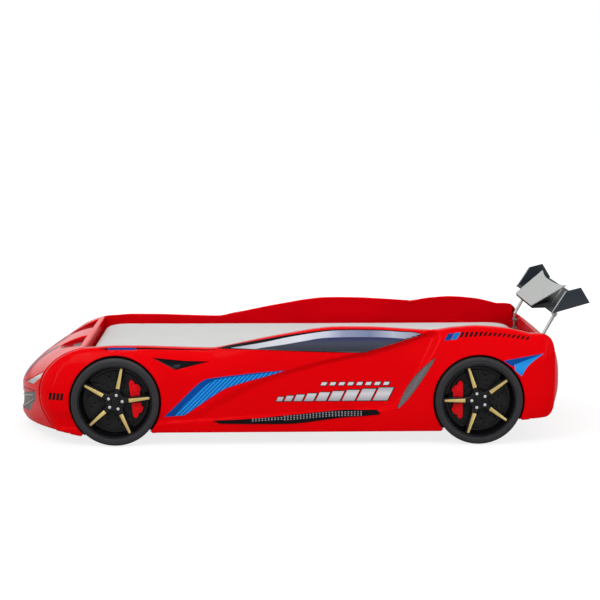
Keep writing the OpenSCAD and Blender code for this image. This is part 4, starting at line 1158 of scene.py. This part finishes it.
def wing_at(x, y, z):
    x1 = x * math.cos(panel_lean) - z * math.sin(panel_lean) + panel_front
    z1 = x * math.sin(panel_lean) + z * math.cos(panel_lean) + panel_up
    return columns(x1 * math.cos(plank_slope) - z1 * math.sin(plank_slope) + plank_x, y + 0 * x,
                   x1 * math.sin(plank_slope) + z1 * math.cos(plank_slope) + plank_z)


def on_wing(height):
    return lambda p: wing_at(p[:, 0], p[:, 1], height)


rear_y = np.linspace(rear_half, -rear_half, 25)
rear_x = panel_chord - hollow * (1 - np.abs(rear_y / rear_half) ** 2.4)
wing_loop = outline(6, [(0, -front_half)], [(0, front_half)], columns(rear_x, rear_y)[:-1],
                    [(panel_chord, -rear_half)])
down = unit(wing_at(0.0, 0.0, -1.0) - wing_at(0.0, 0.0, 0.0))
wing_panel, rows = skin(on_wing(5.0), [moved_in(wing_loop, 1.5)], 14, (-0.6, 0, 0.8))
rim(wing_panel, rows[0], 1.5, 5, down, back=1.0)
wing_panel.joined(skin(on_wing(0.05), [moved_in(wing_loop, 2)], 14, (0.6, 0, -0.8))[0])
piece("wing_silver_panel", wing_panel, "silver_plastic", "wing_centre_panel")


# Wheels
hub_r, rim_r, tyre_r, face_z, wheel_width = 34.0, 153.5, 182.5, 52.0, 66.0
wheel_back_y = 479.0
phase = {"front": 6.7, "rear": 180.0}


def revolve(profile, count=160):
    """A ring of the profile's radius and height, turned about the wheel's axis."""
    direction = np.gradient(profile, axis=0)
    flat = unit(columns(direction[:, 1], -direction[:, 0]))
    turn = np.linspace(0, 2 * np.pi, count, endpoint=False)
    shape = Shape()
    return shape.strips([shape.add(columns(r * np.cos(turn), r * np.sin(turn), 0 * turn + z),
                                   columns(nr * np.cos(turn), nr * np.sin(turn), 0 * turn + nz))
                         for (r, z), (nr, nz) in zip(profile, flat)], closed=True)


def tyre_shape():
    r, w = rim_r, wheel_width
    return revolve(np.vstack([
        curve([(r, 5), (r + 6, 1), (r + 14, 0), (tyre_r - 6, 1.5)], 3),
        curve([(tyre_r - 5, 2), (tyre_r - 1, 5), (tyre_r, 10)], 2),
        curve([(tyre_r, 12), (tyre_r, w - 14)], 10),
        curve([(tyre_r, w - 13), (tyre_r - 1.6, w - 7), (tyre_r - 6, w - 2.2),
               (tyre_r - 13, w)], 1.5),
        curve([(tyre_r - 14, w), (r + 4, w - 0.8)], 4),
        curve([(r + 3, w - 1), (r + 0.6, w - 2.6), (r, w - 6)], 1.2)]))


def rim_shape():
    r, w = rim_r - 0.2, wheel_width
    barrel = revolve(np.vstack([
        curve([(r, 8), (r, w - 6)], 8),
        curve([(r, w - 5), (r - 1, w - 3.4), (r - 3, w - 2.8), (r - 5.5, w - 3.6)], 0.8),
        curve([(r - 6, w - 5), (r - 7, w - 10), (r - 12, 32), (r - 18, 10)], 4),
        curve([(r - 19, 9), (r - 23, 7), (hub_r - 8, 7)], 4)]))
    hub = revolve(np.vstack([
        curve([(hub_r + 6, 30), (hub_r + 6, face_z - 5)], 6),
        curve([(hub_r + 5.6, face_z - 3.6), (hub_r + 3.5, face_z - 2.2), (hub_r, face_z - 2)], 1),
        curve([(hub_r - 3, face_z - 2), (19, face_z - 2)], 4),
        curve([(18, face_z - 2.4), (17.3, face_z - 4)], 1),
        curve([(16.7, face_z - 1.2), (15.5, face_z - 0.3), (12, face_z), (1, face_z)], 1.5)]))
    return barrel.joined(hub)


def spoke_shape(angle):
    """One spoke: a flat face with wide chamfers and deep tapered sides."""
    shape = Shape()
    last = None
    facing = unit(np.array([(0.0, y, z) for y, z in ((-1, 0.1), (-0.7, 0.7), (0, 1), (0.7, 0.7),
                                                     (1, 0.1)) for _ in (0, 1)]))
    facing = np.hstack([turned(facing[:, :2], angle), facing[:, 2:]])
    for k in np.linspace(0, 1, 22):
        half = mix(16, 9.5, min(1, k * 1.02)) - 3 * math.sin(math.pi * min(1, 2 * k)) * (k < 0.5)
        top, cut, deep = face_z - 0.1 - 1.5 * k, mix(4.0, 2.2, k), mix(20, 11, k)
        outline_yz = [(-half - 1.5, top - deep), (-half, top - cut * 1.1), (-half + cut, top),
                      (half - cut, top), (half, top - cut * 1.1), (half + 1.5, top - deep)]
        points = np.array([(mix(hub_r + 1, rim_r - 7, k), y, z) for y, z in outline_yz])
        points = np.repeat(points, 2, axis=0)[1:-1]
        row = shape.add(np.hstack([turned(points[:, :2], angle), points[:, 2:]]), facing)
        if last is not None:
            for i in range(0, 10, 2):
                shape.face((last[i], last[i + 1], row[i + 1], row[i]))
        last = row
    return shape


def rivet_shape(count=40, radius=1.7, sides=8, ring_r=rim_r - 9.5, ring_z=53.0):
    """A ring of small domes on the rim."""
    shape = Shape()
    t = np.linspace(0, 2 * np.pi, sides, endpoint=False)
    for k in range(count):
        a = 2 * math.pi * (k + 0.5) / count
        centre = np.array([ring_r * math.cos(a), ring_r * math.sin(a), ring_z])
        rings = []
        for tilt in np.radians((0, 30, 60, 88)):
            n = columns(np.cos(t) * math.cos(tilt), np.sin(t) * math.cos(tilt),
                        0 * t + math.sin(tilt))
            rings.append(shape.add(centre + radius * n, n))
        shape.strips(rings, closed=True).face(rings[-1])
    return shape


def at_wheel(shape, end, side):
    """A wheel part moved from its own axis to its place on the bed."""
    flip = -1 if side == "left" else 1
    points, normals = (columns(a[:, 0], flip * a[:, 2], a[:, 1])
                       for a in (shape.points, shape.normals))
    return Shape(points + (axle_x[end], flip * wheel_back_y, axle_z), normals, shape.faces)


tyre, rivets = tyre_shape(), rivet_shape()
for end in ("front", "rear"):
    spoked = rim_shape()
    for k in range(5):
        spoked.joined(spoke_shape(phase[end] + 72 * k))
    for side in ("left", "right"):
        wheel = f"{end}_{side}"
        for name, shape, slot, node in (("tyre_ring", tyre, "tyre_black", wheel + "_tyre"),
                                        ("spoked_rim", spoked, "rim_black", wheel + "_rim"),
                                        ("rivets", rivets, "rim_black", None)):
            piece(f"{wheel}_{name}", at_wheel(shape, end, side), slot, node, body=wheel + "_wheel")


# Edges of the frame's own nodes
def edged(name, kind, **settings):
    """Smooth faces on a node of the frame, welded, with a modifier for its edges."""
    obj = nodes[name]
    for polygon in obj.data.polygons:
        polygon.use_smooth = True
    obj.modifiers.new("weld", "WELD").merge_threshold = 0.01 * MM
    edges = obj.modifiers.new("edges", kind)
    for key, value in settings.items():
        setattr(edges, key, value)


for name in ("wing_plank", "wing_posts", "axle_bolts", "feet", "saddle_screws", "bracket_screws",
             "corner_brackets", "panel_blocks", "rear_board", "front_board", "left_inner_board",
             "right_inner_board"):
    edged(name, "EDGE_SPLIT", split_angle=math.radians(35))
ROUND = {"left_end_plate": 2, "right_end_plate": 2, "end_plate_trims": 0.6, "post_saddles": 0.8,
         "wing_brackets": 0.6, "slats": 3, "legs": 2, "ledger_rails": 2, "centre_beam": 2}
for wheel in ("front_left", "front_right", "rear_left", "rear_right"):
    ROUND.update({wheel + "_caliper": 2, wheel + "_inlays": 0.5, wheel + "_nuts": 0.8,
                  wheel + "_brake": 0.6})
for name, width in ROUND.items():
    edged(name, "BEVEL", width=width * MM, segments=3, limit_method="ANGLE",
          angle_limit=math.radians(40), harden_normals=True)


# Mattress: remeshed, blown up as cloth, and held near its own shape
voxel, swell = 14.0, 7.0
room = np.array((0.008, 0.008, 0.0)), np.array((0.008, 0.008, 0.012))
cloth_frames = 20
CLOTH = {"quality": 4, "use_pressure": True, "uniform_pressure_force": 4,
         "tension_stiffness": 20, "compression_stiffness": 20}


def settled(obj):
    """The object's mesh with its modifiers applied, which are then taken away."""
    graph = bpy.context.evaluated_depsgraph_get()
    mesh = bpy.data.meshes.new_from_object(obj.evaluated_get(graph))
    obj.modifiers.clear()
    return mesh


def places(mesh):
    out = np.zeros(len(mesh.vertices) * 3)
    mesh.vertices.foreach_get("co", out)
    return out.reshape(-1, 3)


def mattress_piece():
    scene = bpy.context.scene
    obj = bpy.data.objects.new("mattress_cover", nodes["mattress"].data.copy())
    scene.collection.objects.link(obj)
    remesh = obj.modifiers.new("remesh", "REMESH")
    remesh.mode = "VOXEL"
    remesh.voxel_size = voxel * MM
    remesh.use_smooth_shade = True
    obj.data = settled(obj)
    rest = places(obj.data)
    low, high = rest.min(0), rest.max(0)
    cloth = obj.modifiers.new("cloth", "CLOTH")
    for key, value in CLOTH.items():
        setattr(cloth.settings, key, value)
    cloth.settings.effector_weights.gravity = 0
    for number in range(1, cloth_frames + 1):
        scene.frame_set(number)
    shift = places(settled(obj)) - rest
    size = np.linalg.norm(shift, axis=1, keepdims=True)
    shift *= np.minimum(1, swell * MM / np.maximum(size, 1e-9))
    shift[:, 2] = np.where(rest[:, 2] < low[2] + 0.01, 0, shift[:, 2])
    rest = rest + shift
    scene.frame_set(1)
    rest = np.clip(rest, low - room[0], high + room[1])
    obj.data.vertices.foreach_set("co", rest.ravel())
    obj.data.update()
    obj.data.materials.clear()
    obj.data.materials.append(FINISH["mattress_cloth"])
    obj.modifiers.new("fair", "SMOOTH").iterations = 4
    fine = obj.modifiers.new("fine", "SUBSURF")
    fine.levels = fine.render_levels = 1
    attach(obj, "mattress_body")
    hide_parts("mattress")


mattress_piece()


# Stage, light and camera
def studio_floor():
    """A pale floor that goes white far off, and shows only its shadows to the camera."""
    bpy.ops.mesh.primitive_plane_add(size=60, location=(0, 0, 0))
    floor = bpy.context.object
    floor.name = "studio_floor"
    f = Finish("floor_pale", (0.6, 0.6, 0.6), roughness=0.9, specular=0.1).mottle(0.8, 0.01)
    away = f.node("VectorMath", {0: f.place}, operation="LENGTH").outputs["Value"]
    fade = f.span(away, From_Min=1.5, From_Max=4.0, To_Min=0.80, To_Max=1.0)
    glow = f.node("Emission", {"Strength": fade}, Color=(1, 1, 1, 1))
    shown = f.node("BsdfDiffuse", Color=(0.27, 0.27, 0.27, 1))
    both = f.node("AddShader", {0: shown.outputs[0], 1: glow.outputs[0]})
    camera_ray = f.node("LightPath").outputs["Is Camera Ray"]
    mixed = f.node("MixShader", {0: camera_ray, 1: f.shader.outputs[0], 2: both.outputs[0]})
    f.tree.links.new(mixed.outputs[0], f.tree.nodes["Material Output"].inputs["Surface"])
    floor.data.materials.append(f.material)


def studio_world():
    """White where it is seen or mirrored, and plain soft light elsewhere."""
    world = bpy.data.worlds.new("studio")
    bpy.context.scene.world = world
    world.use_nodes = True
    tree = world.node_tree
    rays = make_node(tree, "ShaderNodeLightPath").outputs
    seen = rays["Is Camera Ray"]
    for ray in ("Is Glossy Ray", "Is Transmission Ray"):
        seen = make_node(tree, "ShaderNodeMath", {0: seen, 1: rays[ray]}, operation="ADD",
                         use_clamp=True).outputs[0]
    strength = make_node(tree, "ShaderNodeMapRange", {"Value": seen}, To_Min=0.52, To_Max=1.0)
    ground = tree.nodes["Background"]
    ground.inputs["Color"].default_value = (1, 1, 1, 1)
    tree.links.new(strength.outputs["Result"], ground.inputs["Strength"])


def placed(name, data, location):
    obj = bpy.data.objects.new(name, data)
    bpy.context.scene.collection.objects.link(obj)
    obj.location = location
    return obj


studio_floor()
studio_world()
# Place, target, size and power of each lamp
LAMPS = {
    "key": ((-2.2, -3.4, 3.2), (0, 0, 0.25), (3.0, 1.6), 55),
    "top": ((0.2, 0.4, 3.6), (0, 0, 0.2), (4.0, 2.4), 45),
    "side": ((3.0, -3.6, 1.6), (0.4, 0, 0.3), (1.2, 2.2), 15),
    "strip": ((0.0, -2.6, 3.4), (0, 0, 0.3), (5.0, 0.25), 36),
    "left_strip": ((-3.6, -2.4, 1.5), (-0.8, 0, 0.3), (0.25, 2.0), 9),
    "right_strip": ((3.4, -2.2, 1.5), (0.8, 0, 0.3), (0.25, 2.0), 9),
}
for name, (place, target, size, power) in LAMPS.items():
    light = bpy.data.lights.new(name, "AREA")
    light.shape = "RECTANGLE"
    light.size, light.size_y = size
    light.energy = power
    aim = Vector(target) - Vector(place)
    placed(name, light, place).rotation_euler = aim.to_track_quat("-Z", "Y").to_euler()

lens_data = bpy.data.cameras.new("camera")
lens_data.lens = 97.115
lens_data.sensor_width = 36
lens_data.clip_end = 100
camera = placed("camera", lens_data, (-0.15958, -7.10872, 1.46711))
camera.rotation_euler = (math.radians(90 - 7.4411), 0, -math.radians(1.4318))
bpy.context.scene.camera = camera
bpy.context.scene.view_settings.view_transform = "Standard"
